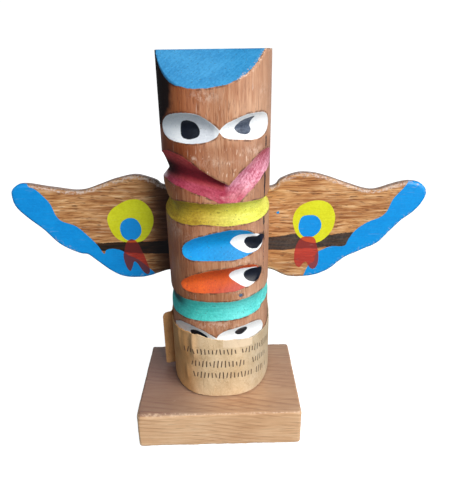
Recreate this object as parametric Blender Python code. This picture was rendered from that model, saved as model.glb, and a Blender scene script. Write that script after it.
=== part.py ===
"""A small carved and painted totem pole on a wooden block.

The pole is one piece of wood with a flat back and a rounded front. A board cut to the outline of
two wings is glued across its back, and a strip of kraft paper is wrapped round its foot.
Lengths are in metres, +Z is up, the front faces -Y, and the origin is the middle of the underside.
"""
import math

import bmesh
import bpy
import numpy as np

# Clearance between pieces that touch
TOUCH_GAP = 0.0003

# Block under the pole
BASE_WIDTH = 0.0765
BASE_DEPTH = 0.0545
BASE_THICKNESS = 0.019
BASE_EDGE_WEAR = 0.0012

# Pole: the section is flat behind and a superellipse in front
POLE_LENGTH = 0.1537
POLE_WIDTH = 0.0484
POLE_DEPTH = 0.0375
POLE_ROUNDNESS = 2.6
POLE_SIDE_OFFSET = 0.0009
POLE_LEAN = 0.0020

# Sloping cut across the front of the pole's top
BEVEL_RUN = 0.0153
BEVEL_DROP = 0.0129
BEVEL_SIDE_SLOPE = 0.139

# Carving depths
RING_DEPTH = 0.0024
LOW_RING_DEPTH = 0.0018
LEFT_CUT_DEPTH = 0.0029
RIGHT_CUT_DEPTH = 0.0022
EYE_DEPTH = 0.0011
SCOOP_DEPTH = 0.0010
LOW_EYE_DEPTH = 0.0007

# Wing board: reach is measured from the pole's middle to each tip
BOARD_THICKNESS = 0.0048
BOARD_EDGE_ROUND = 0.0016
WING_REACH_LEFT = 0.0992
WING_REACH_RIGHT = 0.1018
WING_HEIGHT = 0.055

# Paper strip round the foot
PAPER_THICKNESS = 0.0005
BAND_WIDTH = 0.031
BAND_FOOT_CLEARANCE = 0.0007
BAND_CORNER_RADIUS = 0.0012
BAND_START = 0.0140
FLAP_ROOT = 0.0085
FLAP_BEND_RADIUS = 0.0010
FLAP_BEND_ANGLE = 72.0
FLAP_LENGTH = 0.0042
FLAP_CORNER = 0.0025
FLAP_LOW_CORNER_SHARE = 0.3

# Fineness of the faceted surfaces
POLE_COLUMNS = 60
CARVED_ROW_HEIGHT = 0.0014
PLAIN_ROW_HEIGHT = 0.0042
OUTLINE_STEPS = 3
BAND_COLUMNS = 60

# Carving is placed by shares: across, 0 is the front middle line and 1 the right back corner of
# the half girth. Up, 0 is the foot and 1 the top of the pole.
CARVED_FROM = 0.17
CARVED_TO = 0.87

# Ring grooves: middle height and half height. The upper one widens upwards at its left end,
# and the lower one is shallower on the left.
RING_MIDDLE = 0.599
RING_HALF = 0.031
RING_TAIL = 0.028
RING_TAIL_FROM = -0.40
RING_TAIL_TO = -0.56
LOW_RING_MIDDLE = 0.305
LOW_RING_HALF = 0.035
LOW_RING_LEFT_SHARE = 0.5

# The two slanting cuts that meet in a V: across, middle height and half height
LEFT_CUT = ((-1.0, 0.686, 0.030), (-0.60, 0.700, 0.032), (-0.45, 0.707, 0.034),
            (-0.30, 0.706, 0.035), (-0.15, 0.697, 0.033), (0.0, 0.672, 0.031),
            (0.12, 0.650, 0.018))
RIGHT_CUT = ((0.03, 0.644, 0.012), (0.12, 0.652, 0.022), (0.20, 0.672, 0.033),
             (0.30, 0.690, 0.037), (0.42, 0.707, 0.037), (0.60, 0.722, 0.027))

# Where the two cuts meet: the facets' diagonals follow each cut's own slope.
# The right cut fades out towards the side. The power sets how narrow a cut's bottom is.
CUT_MEETING = 0.09
RIGHT_CUT_FADE_FROM = 0.40
RIGHT_CUT_FADE_TO = 0.60
CUT_POWER = 1.5

# Shallow oval scoops: middle across, middle height, half width, half height, rise per width
LEFT_EYE = (-0.245, 0.818, 0.280, 0.037, 0.0)
RIGHT_EYE = (0.290, 0.820, 0.250, 0.031, 0.035)
UPPER_SCOOP = (0.070, 0.508, 0.385, 0.042, 0.030)
LOWER_SCOOP = (0.045, 0.404, 0.400, 0.035, 0.025)
LOW_LEFT_EYE = (-0.265, 0.217, 0.245, 0.033, -0.02)
LOW_RIGHT_EYE = (0.230, 0.217, 0.250, 0.033, 0.02)

# Wing outlines from the middle over the top to the tip and back below:
# share of the wing's reach, share of the wing height above its lowest point
WING_FOOT = 0.291
LEFT_WING = ((0.0, 0.873), (0.13, 0.875), (0.261, 0.904), (0.298, 0.949), (0.392, 0.996),
             (0.490, 0.964), (0.572, 0.913), (0.652, 0.869), (0.729, 0.873), (0.824, 0.902),
             (0.930, 0.933), (0.977, 0.907), (1.0, 0.840), (0.989, 0.727), (0.942, 0.622),
             (0.873, 0.505), (0.806, 0.367), (0.714, 0.273), (0.673, 0.256), (0.637, 0.200),
             (0.563, 0.084), (0.482, 0.018), (0.378, 0.024), (0.271, 0.082), (0.13, 0.11))
RIGHT_WING = ((0.0, 0.873), (0.13, 0.858), (0.260, 0.878), (0.298, 0.940), (0.373, 0.991),
              (0.449, 0.989), (0.527, 0.951), (0.625, 0.885), (0.704, 0.838), (0.762, 0.835),
              (0.837, 0.878), (0.912, 0.904), (0.972, 0.875), (1.0, 0.785), (0.963, 0.644),
              (0.893, 0.533), (0.823, 0.387), (0.787, 0.318), (0.710, 0.251), (0.632, 0.182),
              (0.555, 0.060), (0.474, 0.0), (0.351, -0.005), (0.255, 0.073), (0.13, 0.105))

# Places worked out from the sizes above. The wing board's back is flush with the block's.
BASE_TOP = BASE_THICKNESS
POLE_FOOT = BASE_TOP + TOUCH_GAP
POLE_BACK = BASE_DEPTH / 2 - BOARD_THICKNESS - TOUCH_GAP
WING_MIDDLE = POLE_LENGTH * WING_FOOT + WING_HEIGHT / 2


def clear_scene():
    """Empty the scene and drop the meshes and materials that nothing uses."""
    for item in list(bpy.data.objects):
        bpy.data.objects.remove(item, do_unlink=True)
    for mesh in list(bpy.data.meshes):
        bpy.data.meshes.remove(mesh)
    for material in list(bpy.data.materials):
        bpy.data.materials.remove(material)


def make_material(name, color, roughness):
    """A plain Principled material with one colour."""
    material = bpy.data.materials.new(name)
    material.use_nodes = True
    shader = material.node_tree.nodes["Principled BSDF"]
    shader.inputs["Base Color"].default_value = (*color, 1.0)
    shader.inputs["Roughness"].default_value = roughness
    shader.inputs["Metallic"].default_value = 0.0
    material.diffuse_color = (*color, 1.0)
    return material


def add_object(name, bm, location, material):
    """Turn the bmesh into a named object with outward normals."""
    bmesh.ops.recalc_face_normals(bm, faces=bm.faces)
    mesh = bpy.data.meshes.new(name)
    bm.to_mesh(mesh)
    bm.free()
    mesh.materials.append(material)
    item = bpy.data.objects.new(name, mesh)
    item.location = location
    bpy.context.scene.collection.objects.link(item)
    return item


def shade_round(item, sharp_degrees):
    """Smooth shading with sharp edges kept above the given angle."""
    item.data.shade_smooth()
    item.data.set_sharp_from_angle(angle=math.radians(sharp_degrees))


def add_bevel(item, width, segments):
    """A bevel on the square edges only."""
    bevel = item.modifiers.new("worn edges", "BEVEL")
    bevel.width = width
    bevel.segments = segments
    bevel.limit_method = "ANGLE"
    bevel.angle_limit = math.radians(60)
    return bevel


def section_points(count):
    """The pole's section from the left back corner round the front to the right back corner.

    x = width/2 * sin(t)^(2/n) and y = -depth * cos(t)^(2/n), for t from -90 to 90 degrees.
    Points are then spaced evenly along the curve. Returns the points and their outward normals.
    """
    power = 2.0 / POLE_ROUNDNESS
    t = np.linspace(-math.pi / 2, math.pi / 2, 2001)
    x = POLE_WIDTH / 2 * np.sign(t) * np.abs(np.sin(t)) ** power
    y = -POLE_DEPTH * np.abs(np.cos(t)) ** power
    length = np.concatenate([[0.0], np.cumsum(np.hypot(np.diff(x), np.diff(y)))])
    even = np.linspace(0.0, length[-1], count + 1)
    points = np.stack([np.interp(even, length, x), np.interp(even, length, y)], axis=1)
    along = np.gradient(points, axis=0)
    along[0] = (0.0, -1.0)
    along[-1] = (0.0, 1.0)
    along /= np.linalg.norm(along, axis=1)[:, None]
    normals = np.stack([along[:, 1], -along[:, 0]], axis=1)
    return points, normals


def ramp(value, start, end):
    """0 at the start, 1 at the end and straight between them."""
    return np.clip((value - start) / (end - start), 0.0, 1.0)


def groove(across, up, line, depth):
    """A narrow-bottomed channel: depth * (1 - (|up - middle| / half)^power) inside its lips."""
    place, middle, half = np.array(line).T
    distance = (up - np.interp(across, place, middle)) / np.interp(across, place, half)
    inside = (across >= place[0]) & (across <= place[-1])
    return np.where(inside, depth * np.clip(1.0 - np.abs(distance) ** CUT_POWER, 0.0, 1.0), 0.0)


def scoop(across, up, oval, depth):
    """A shallow dish: depth * (1 - u^2 - v^2) inside a slanting oval."""
    middle, height, half_width, half_height, rise = oval
    u = (across - middle) / half_width
    v = (up - height - rise * (across - middle)) / half_height
    return depth * np.clip(1.0 - u ** 2 - v ** 2, 0.0, 1.0)


def carving_depth(across, up):
    """How far the carving goes into the pole at each place, the deepest cut winning."""
    half_tail = RING_TAIL / 2 * ramp(across, RING_TAIL_FROM, RING_TAIL_TO)
    ring_place = (up - RING_MIDDLE - half_tail) / (RING_HALF + half_tail)
    ring = RING_DEPTH * np.clip(1.0 - ring_place ** 2, 0.0, 1.0)
    low_place = (up - LOW_RING_MIDDLE) / LOW_RING_HALF
    low_depth = LOW_RING_DEPTH * (LOW_RING_LEFT_SHARE
                                  + (1.0 - LOW_RING_LEFT_SHARE) * ramp(across, -0.5, 0.5))
    low_ring = low_depth * np.clip(1.0 - low_place ** 2, 0.0, 1.0)
    fade = 1.0 - ramp(across, RIGHT_CUT_FADE_FROM, RIGHT_CUT_FADE_TO)
    cuts = (ring, low_ring,
            groove(across, up, LEFT_CUT, LEFT_CUT_DEPTH),
            groove(across, up, RIGHT_CUT, RIGHT_CUT_DEPTH * fade),
            scoop(across, up, LEFT_EYE, EYE_DEPTH),
            scoop(across, up, RIGHT_EYE, EYE_DEPTH),
            scoop(across, up, UPPER_SCOOP, SCOOP_DEPTH),
            scoop(across, up, LOWER_SCOOP, SCOOP_DEPTH),
            scoop(across, up, LOW_LEFT_EYE, LOW_EYE_DEPTH),
            scoop(across, up, LOW_RIGHT_EYE, LOW_EYE_DEPTH))
    return np.max(np.stack(cuts), axis=0)


def row_shares():
    """Heights of the pole's rows: close together where it is carved, wider elsewhere."""
    spans = ((0.0, CARVED_FROM, PLAIN_ROW_HEIGHT),
             (CARVED_FROM, CARVED_TO, CARVED_ROW_HEIGHT),
             (CARVED_TO, 1.0, PLAIN_ROW_HEIGHT))
    rows = [0.0]
    for start, end, pitch in spans:
        steps = max(1, round((end - start) * POLE_LENGTH / pitch))
        rows.extend(start + (end - start) * (k + 1) / steps for k in range(steps))
    return np.array(rows)


def make_pole(material):
    """The carved pole: a grid round its front and sides, a flat back and two ends."""
    section, normals = section_points(POLE_COLUMNS)
    across = np.linspace(-1.0, 1.0, POLE_COLUMNS + 1)
    up = row_shares()
    depth = carving_depth(across[None, :], up[:, None])
    bm = bmesh.new()
    rows = []
    for j, share in enumerate(up):
        height = share * POLE_LENGTH
        shift = POLE_LEAN * height
        plan = section - normals * depth[j][:, None]
        rows.append([bm.verts.new((x + shift, y, height)) for x, y in plan])
    for low, high in zip(rows[:-1], rows[1:]):
        for i in range(POLE_COLUMNS):
            if across[i] < CUT_MEETING:
                bm.faces.new((low[i], low[i + 1], high[i]))
                bm.faces.new((low[i + 1], high[i + 1], high[i]))
            else:
                bm.faces.new((low[i], low[i + 1], high[i + 1]))
                bm.faces.new((low[i], high[i + 1], high[i]))
        bm.faces.new((low[-1], low[0], high[0], high[-1]))
    bm.faces.new(rows[0][::-1])
    bm.faces.new(rows[-1])
    cut_top_bevel(bm)
    pole = add_object("pole", bm, (POLE_SIDE_OFFSET, POLE_BACK, POLE_FOOT), material)
    shade_round(pole, 35)
    return pole


def cut_top_bevel(bm):
    """Slice the front of the top off along a plane and close the cut."""
    slope = BEVEL_DROP / BEVEL_RUN
    normal = (-BEVEL_SIDE_SLOPE, -slope, 1.0)
    start = (POLE_LEAN * POLE_LENGTH, BEVEL_RUN - POLE_DEPTH, POLE_LENGTH)
    geometry = bm.verts[:] + bm.edges[:] + bm.faces[:]
    cut = bmesh.ops.bisect_plane(bm, geom=geometry, dist=1e-7, plane_co=start,
                                 plane_no=normal, clear_outer=True)
    edges = [part for part in cut["geom_cut"] if isinstance(part, bmesh.types.BMEdge)]
    bmesh.ops.edgenet_fill(bm, edges=edges)


def make_base(material):
    """The rectangular block, its edges a little worn."""
    bm = bmesh.new()
    bmesh.ops.create_cube(bm, size=1.0)
    bmesh.ops.scale(bm, vec=(BASE_WIDTH, BASE_DEPTH, BASE_THICKNESS), verts=bm.verts)
    base = add_object("base_block", bm, (0.0, 0.0, BASE_THICKNESS / 2), material)
    add_bevel(base, BASE_EDGE_WEAR, 3)
    shade_round(base, 35)
    return base


def smooth_loop(corners, steps):
    """A closed curve through the points, as Catmull-Rom pieces with the given number of steps."""
    count = len(corners)
    curve = []
    for k in range(count):
        before = corners[k - 1]
        start = corners[k]
        end = corners[(k + 1) % count]
        after = corners[(k + 2) % count]
        for step in range(steps):
            t = step / steps
            curve.append(0.5 * (2 * start + (end - before) * t
                                + (2 * before - 5 * start + 4 * end - after) * t ** 2
                                + (3 * start - before - 3 * end + after) * t ** 3))
    return np.array(curve)


def wing_outline():
    """Both wings as one closed outline, in the board's own plane."""
    left = np.array(LEFT_WING) * (-WING_REACH_LEFT, WING_HEIGHT)
    right = np.array(RIGHT_WING) * (WING_REACH_RIGHT, WING_HEIGHT)
    bottom = [(0.0, (left[-1, 1] + right[-1, 1]) / 2)]
    corners = np.concatenate([right, bottom, left[::-1][:-1]])
    return smooth_loop(corners, OUTLINE_STEPS)


def make_wings(material):
    """The wing board: the outline given its thickness, with sanded edges."""
    bm = bmesh.new()
    front = [bm.verts.new((x, 0.0, z)) for x, z in wing_outline()]
    back = [bm.verts.new((v.co.x, BOARD_THICKNESS, v.co.z)) for v in front]
    bm.faces.new(front)
    bm.faces.new(back[::-1])
    for k in range(len(front)):
        following = (k + 1) % len(front)
        bm.faces.new((front[k], back[k], back[following], front[following]))
    foot = POLE_LENGTH * WING_FOOT
    middle = POLE_SIDE_OFFSET + POLE_LEAN * WING_MIDDLE
    board = add_object("wing_board", bm, (middle, POLE_BACK + TOUCH_GAP, POLE_FOOT + foot), material)
    add_bevel(board, BOARD_EDGE_ROUND, 2)
    shade_round(board, 35)
    return board


def arc(centre, radius, start_degrees, end_degrees, count):
    """Points round a centre in plan."""
    turn = np.radians(np.linspace(start_degrees, end_degrees, count))
    return centre + radius * np.stack([np.cos(turn), np.sin(turn)], axis=1)


def band_path():
    """The paper's middle line in plan, from its start on the pole's left side, round the front,
    the right side, the back and the left back corner, to the loose end bent out at the left."""
    offset = TOUCH_GAP + PAPER_THICKNESS / 2
    section, normals = section_points(BAND_COLUMNS)
    wrapped = section + normals * offset
    left_side = np.arange(BAND_COLUMNS + 1) < BAND_COLUMNS / 2
    front = wrapped[~left_side | (section[:, 1] < -BAND_START)]
    radius = BAND_CORNER_RADIUS
    corner = np.array([POLE_WIDTH / 2 + offset - radius, offset - radius])
    right_turn = arc(corner, radius, 30, 90, 4)
    back = np.array([(share * POLE_WIDTH, offset) for share in (0.25, 0.0, -0.25)])
    left_turn = arc(corner * (-1, 1), radius, 90, 180, 5)
    side = wrapped[left_side & (section[:, 1] < -FLAP_ROOT / 2) & (section[:, 1] > -FLAP_ROOT)]
    root = side[-1] + (-FLAP_BEND_RADIUS, -FLAP_ROOT / 4)
    bend = arc(root, FLAP_BEND_RADIUS, 0, -FLAP_BEND_ANGLE, 6)
    direction = math.radians(-FLAP_BEND_ANGLE - 90)
    ahead = np.array([math.cos(direction), math.sin(direction)])
    run = FLAP_LENGTH * np.array([0.3, 0.6, 0.85, 1.0])
    flap = bend[-1] + ahead * run[:, None]
    return np.concatenate([front[:-1], right_turn, back, left_turn, side, bend, flap])


def band_heights(path):
    """Top and bottom of the strip along its path, with the flap's two corners rounded off."""
    length = np.concatenate([[0.0], np.cumsum(np.hypot(*np.diff(path, axis=0).T))])
    left = length[-1] - length
    inside = np.clip(1.0 - left / FLAP_CORNER, 0.0, 1.0)
    drop = FLAP_CORNER * (1.0 - np.sqrt(1.0 - inside ** 2))
    top = BAND_FOOT_CLEARANCE + BAND_WIDTH - drop
    return top, BAND_FOOT_CLEARANCE + drop * FLAP_LOW_CORNER_SHARE


def make_band(material):
    """The paper strip: its path in plan given thickness and height, as one closed body."""
    path = band_path()
    top, bottom = band_heights(path)
    along = np.gradient(path, axis=0)
    along /= np.linalg.norm(along, axis=1)[:, None]
    outward = np.stack([along[:, 1], -along[:, 0]], axis=1)
    rows = []
    bm = bmesh.new()
    for side, high in ((1, 0), (1, 0.5), (1, 1), (-1, 1), (-1, 0.5), (-1, 0)):
        height = bottom + (top - bottom) * high
        plan = path + outward * side * PAPER_THICKNESS / 2
        plan = plan + np.stack([POLE_LEAN * height, 0 * height], axis=1)
        rows.append([bm.verts.new((x, y, z)) for (x, y), z in zip(plan, height)])
    for k in range(len(rows)):
        low = rows[k]
        high = rows[(k + 1) % len(rows)]
        for i in range(len(path) - 1):
            bm.faces.new((low[i], low[i + 1], high[i + 1], high[i]))
    bm.faces.new([row[0] for row in rows])
    bm.faces.new([row[-1] for row in rows][::-1])
    band = add_object("paper_band", bm, (POLE_SIDE_OFFSET, POLE_BACK, POLE_FOOT), material)
    shade_round(band, 35)
    return band


def main():
    clear_scene()
    make_base(make_material("base wood", (0.42, 0.22, 0.11), 0.62))
    make_pole(make_material("pole wood", (0.40, 0.17, 0.08), 0.50))
    make_wings(make_material("wing oak", (0.45, 0.25, 0.11), 0.55))
    make_band(make_material("kraft paper", (0.62, 0.40, 0.20), 0.80))


main()
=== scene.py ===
"""The looks of a small carved and painted totem pole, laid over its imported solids.

The pole, the wing board, the paper strip and the block are each made again as fine surfaces with
their carving, paint, grain and wear. Lengths are in metres, +Z is up and the front faces -Y.
"""
import math

import bpy
import numpy as np
from mathutils import Matrix


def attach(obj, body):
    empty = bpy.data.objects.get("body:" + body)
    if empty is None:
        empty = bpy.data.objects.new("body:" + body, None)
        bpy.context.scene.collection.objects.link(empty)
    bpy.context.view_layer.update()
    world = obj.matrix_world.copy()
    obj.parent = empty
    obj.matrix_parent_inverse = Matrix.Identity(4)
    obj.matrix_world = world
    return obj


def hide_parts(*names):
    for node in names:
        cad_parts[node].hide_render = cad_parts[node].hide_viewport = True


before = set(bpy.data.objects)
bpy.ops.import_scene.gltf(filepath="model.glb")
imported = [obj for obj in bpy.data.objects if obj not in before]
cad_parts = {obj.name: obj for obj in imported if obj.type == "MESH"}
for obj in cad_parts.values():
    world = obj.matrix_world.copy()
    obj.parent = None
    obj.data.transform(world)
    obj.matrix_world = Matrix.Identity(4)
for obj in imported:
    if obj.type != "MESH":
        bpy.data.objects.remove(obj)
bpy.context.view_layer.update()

MM = 0.001

# The lamps: name, place, size, watts and colour
LAMP_TARGET = (0.0, 0.0, 0.08)
LAMPS = (("key", (0.496, -0.591, 0.544), 0.6, 10.4, (1.0, 0.97, 0.94)),
         ("fill", (-0.45, -0.80, 0.70), 1.0, 3.0, (0.80, 0.91, 1.0)),
         ("back", (0.0, 0.95, 0.26), 0.9, 3.2, (0.94, 0.97, 1.0)))

# The photograph's camera
CAMERA_PLACE = (0.006033, -0.190226, 0.170988)
CAMERA_YAW = 0.925
CAMERA_PITCH = 23.263
CAMERA_ROLL = -0.693
FOCAL_PIXELS = 455.787
FRAME_HEIGHT = 500
FILM_SIZE = 36.0

# Sizes shared with the solids
TOUCH_GAP = 0.0003
BASE_SIZE = np.array((0.0765, 0.0545, 0.019))
POLE_LENGTH = 0.1537
POLE_WIDTH = 0.0484
POLE_DEPTH = 0.0375
POLE_ROUNDNESS = 2.6
POLE_SIDE_OFFSET = 0.0009
POLE_LEAN = 0.0020
POLE_FOOT = BASE_SIZE[2] + TOUCH_GAP
BEVEL_RUN = 0.0153
BEVEL_DROP = 0.0129
BEVEL_SLOPE = BEVEL_DROP / BEVEL_RUN
BEVEL_SIDE_SLOPE = 0.139
RIDGE = BEVEL_RUN - POLE_DEPTH
BOARD_THICKNESS = 0.0048
BOARD_EDGE_ROUND = 0.0016
POLE_BACK = BASE_SIZE[1] / 2 - BOARD_THICKNESS - TOUCH_GAP
WING_REACH_LEFT = 0.0992
WING_REACH_RIGHT = 0.1018
WING_HEIGHT = 0.055
WING_FOOT = 0.291
WING_MIDDLE = POLE_LENGTH * WING_FOOT + WING_HEIGHT / 2
WING_CENTRE = POLE_SIDE_OFFSET + POLE_LEAN * WING_MIDDLE
PAPER_THICKNESS = 0.0005
BAND_WIDTH = 0.031
BAND_FOOT_CLEARANCE = 0.0007
BAND_CORNER_RADIUS = 0.0012
BAND_START = 0.0140
FLAP_ROOT = 0.0085
FLAP_ROOT_STEP = 0.0021
FLAP_BEND_RADIUS = 0.0010
FLAP_BEND_ANGLE = 72.0
FLAP_LENGTH = 0.0042
FLAP_CORNER = 0.0025
FLAP_LOW_CORNER_SHARE = 0.3
BLOCK_EDGE_WEAR = 0.0012

# Fineness of the surfaces
POLE_FRONT_COLUMNS = 216
POLE_BACK_COLUMNS = 36
POLE_PLAIN_ROWS = 14
POLE_CARVED_ROWS = 244
POLE_UPPER_ROWS = 38
POLE_CAP_ROWS = 16
WING_COLUMNS = 260
WING_ROWS = 84
TIP_INSET = 0.00004
BAND_PITCH = 0.0005
BAND_ROWS = 56
BAND_SECTION = 120
BLOCK_PITCH = 0.0009
BLOCK_PITCH_UP = 0.0008
# Steps from a block's edge inwards, and how deep the zone is that they fill
EDGE_STEPS = np.array((0.0, 0.0003, 0.0006, 0.0009, 0.0012, 0.0016, 0.0021, 0.0027, 0.0035))
EDGE_ZONE = 0.0045

# How far a painted outline's distance is followed, in millimetres
PAINT_REACH = 8.0
WING_PAINT_REACH = 4.0
RIM_REACH = 6.0
LAP_REACH = 4.0
# What a mark holds away from its paint or crack, and in the middle of the painted top
UNPAINTED = -4.0
WELL_PAINTED = 6.0
ELSEWHERE = {"rim": 0.0, "crack": 9.0, "crack width": -0.6, "worn": 0.0}

# The pole's carving and paint, by shares: across runs from -1 at the left back corner over 0
# at the front to 1 at the right back corner, up from 0 at the foot to 1 at the top
LEFT_EYE = ((-.530, .817), (-.499, .833), (-.420, .846), (-.321, .854), (-.213, .857), (-.120, .853),
            (-.050, .841), (.005, .827), (.038, .8145), (.016, .800), (-.037, .790), (-.112, .785),
            (-.202, .783), (-.308, .785), (-.410, .790), (-.500, .801))
LEFT_PUPIL = ((-.326, .822), (-.290, .834), (-.225, .8375), (-.160, .832), (-.122, .818),
              (-.116, .806), (-.140, .7975), (-.208, .792), (-.275, .796), (-.318, .808))
RIGHT_EYE = ((.042, .8145), (.081, .829), (.150, .840), (.240, .850), (.330, .853), (.450, .851),
             (.530, .841), (.560, .824), (.540, .808), (.484, .797), (.390, .789), (.288, .788),
             (.211, .791), (.122, .794), (.064, .801))
RIGHT_PUPIL = ((.166, .820), (.215, .834), (.285, .841), (.358, .844), (.338, .833), (.334, .822),
               (.344, .812), (.315, .804), (.262, .801), (.200, .806), (.170, .813))
LEFT_V = ((-1.1, .718), (-.80, .733), (-.58, .750), (-.411, .758), (-.285, .752), (-.209, .741),
          (-.142, .725), (-.067, .708), (.019, .691), (.106, .676), (.200, .650), (.174, .631),
          (.070, .631), (.026, .630), (-.008, .636), (-.084, .648), (-.163, .656), (-.263, .666),
          (-.378, .672), (-.522, .677), (-.70, .672), (-1.1, .654))
RIGHT_V = ((.060, .664), (.106, .676), (.174, .701), (.261, .724), (.370, .746), (.460, .755),
           (.600, .752), (.690, .744), (.700, .716), (.600, .700), (.500, .692), (.440, .685),
           (.374, .672), (.290, .656), (.235, .643), (.174, .630), (.090, .640))
YELLOW_TOP = ((-1.0, .657), (-.70, .657), (-.604, .652), (-.545, .640), (-.480, .630), (-.421, .625),
              (-.300, .630), (-.191, .630), (-.019, .628), (.161, .629), (.322, .627), (.421, .623),
              (.50, .622), (.70, .626), (1.0, .628))
YELLOW_FOOT = ((-1.0, .569), (-.80, .571), (-.628, .575), (-.565, .570), (-.418, .567), (-.201, .567),
               (-.115, .572), (-.024, .569), (.067, .566), (.341, .567), (.590, .568), (1.0, .570))
TEAL_TOP = ((-1.0, .333), (-.533, .331), (-.319, .334), (-.209, .337), (-.020, .335), (.078, .335),
            (.263, .339), (.369, .341), (.474, .338), (.533, .334), (1.0, .336))
TEAL_FOOT = ((-1.0, .266), (-.70, .262), (-.520, .262), (-.429, .267), (-.316, .270), (-.113, .2725),
             (.075, .274), (.279, .278), (.420, .280), (.455, .290), (.541, .290), (.75, .288),
             (1.0, .285))
BLUE_OVAL = ((-.321, .489), (-.289, .507), (-.207, .527), (-.096, .540), (.009, .549), (.112, .554),
             (.208, .551), (.300, .538), (.400, .512), (.450, .492), (.400, .479), (.293, .475),
             (.221, .469), (.132, .465), (.014, .466), (-.128, .465), (-.245, .464), (-.305, .472))
BLUE_OVAL_WHITE = ((.119, .515), (.158, .529), (.221, .534), (.300, .532), (.381, .526), (.470, .508),
                   (.432, .482), (.293, .477), (.221, .484), (.157, .497), (.122, .507))
BLUE_OVAL_PUPIL = ((.263, .511), (.284, .521), (.333, .522), (.371, .520), (.430, .521), (.500, .511),
                   (.473, .500), (.444, .490), (.384, .482), (.308, .488), (.272, .500))
ORANGE_OVAL = ((-.362, .379), (-.323, .396), (-.225, .416), (-.096, .432), (.012, .438), (.095, .442),
               (.187, .444), (.293, .442), (.390, .425), (.400, .400), (.330, .382), (.220, .374),
               (.154, .369), (.031, .366), (-.140, .364), (-.263, .362), (-.335, .366))
ORANGE_WHITE = ((.100, .413), (.131, .426), (.207, .432), (.293, .430), (.387, .422), (.412, .395),
                (.329, .379), (.263, .375), (.220, .379), (.155, .392), (.111, .403))
ORANGE_PUPIL = ((.251, .408), (.270, .420), (.327, .424), (.400, .421), (.455, .413), (.433, .394),
                (.389, .383), (.320, .384), (.265, .395))
LOW_LEFT_EYE = ((-.549, .218), (-.46, .236), (-.393, .246), (-.320, .2495), (-.258, .249),
                (-.159, .240), (-.085, .226), (-.030, .210), (-.10, .190), (-.25, .183),
                (-.42, .188), (-.52, .203))
LOW_LEFT_PUPIL = ((-.310, .219), (-.262, .229), (-.205, .2315), (-.140, .223), (-.108, .212),
                  (-.13, .203), (-.20, .198), (-.27, .206))
LOW_RIGHT_EYE = ((-.028, .210), (.003, .228), (.078, .241), (.200, .248), (.307, .250), (.400, .243),
                 (.470, .228), (.503, .206), (.460, .190), (.35, .183), (.15, .185), (.02, .195))
LOW_RIGHT_PUPIL = ((.144, .229), (.184, .239), (.251, .2385), (.278, .226), (.233, .215),
                   (.183, .214), (.150, .220))
BLUE_DOT = ((.176, .353), (.186, .357), (.204, .357), (.212, .352), (.203, .348), (.184, .348))
# A near-black patch on the upper left flank, down to the top of the left eye
FLANK_DARK_PATCH = ((-1.3, 1.06), (-.30, 1.06), (-.352, .930), (-.354, .897), (-.366, .873), (-.402, .856),
               (-.497, .838), (-.541, .824), (-.66, .812), (-.80, .840), (-.90, .90), (-1.3, .95))

# The left cut's valley lies close under its upper edge at the V's tip: across, up
LEFT_VALLEY = ((-1.0, .686), (-.60, .698), (-.35, .701), (-.22, .697), (-.06, .687), (.10, .6735),
               (.20, .650))
LEFT_CUT_DEPTH = ((-1.0, 2.9), (-.30, 2.9), (-.06, 2.1), (.09, 1.3), (.17, 0.4), (.20, 0.0))
RIGHT_CUT_DEPTH = ((.03, 0.8), (.14, 2.0), (.40, 2.2), (.60, 0.3), (.66, 0.0))
RING_DEPTH = 2.4
LOW_RING_DEPTHS = ((-.5, 0.9), (.5, 1.8))
RIM_ROUND = 0.00035
RIM_TURN = np.radians((30.0, 60.0, 90.0))
BACK_CORNER = 0.0004
# The heights, as shares, where the close rows begin and where the carving ends
PLAIN_TOP = .165
CARVED_TOP = .87

# Each eye and oval is cut this share of the way to the straight chord between its two ends
EYE_FLATNESS = 0.72
OVAL_FLATNESS = 0.42
LOW_EYE_FLATNESS = 0.4
SCOOP_POWER = 1.7

# Bare wood along the bevel's right rim, and blue lapping over its left rim: across, millimetres
BARE_RIM = ((.05, 0.0), (.20, 0.08), (.32, 0.22), (.42, 0.28), (.50, 0.2), (.60, 0.1), (.75, 0.0))
BLUE_LAP = ((-.62, 0.0), (-.52, 0.9), (-.40, 1.3), (-.30, 0.8), (-.22, 0.1), (.3, 0.05))

# The crack along the right side: up, across
SIDE_CRACK = ((0.0, .48), (.365, .49), (.49, .50), (.585, .485), (.78, .511), (.97, .527))
# Its half width in millimetres: up, half width
CRACK_WIDTH = ((.35, -.6), (.38, .12), (.48, .20), (.50, .55), (.53, .20), (.55, .70), (.60, .95),
               (.615, .15), (.635, .70), (.66, 1.05), (.685, .80), (.70, .12), (.755, .18), (.765, .75),
               (.785, .65), (.795, -.6))
# Rubbed places on the wood: across, up, half width, half height, strength
WORN_PLACES = ((-.06, .895, .10, .012, 0.9), (.33, .762, .10, .014, 1.0), (-.16, .746, .018, .005, 1.3),
               (.02, .735, .16, .012, 0.55), (-.40, .545, .10, .022, 0.6), (.22, .456, .09, .008, 0.9),
               (.14, .372, .06, .008, 0.9), (-.50, .930, .05, .03, 0.5), (.44, .905, .06, .02, 0.7),
               (-.52, .59, .05, .03, 0.5), (.30, .345, .10, .006, 0.6), (-.02, .258, .22, .014, 0.9))

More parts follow.
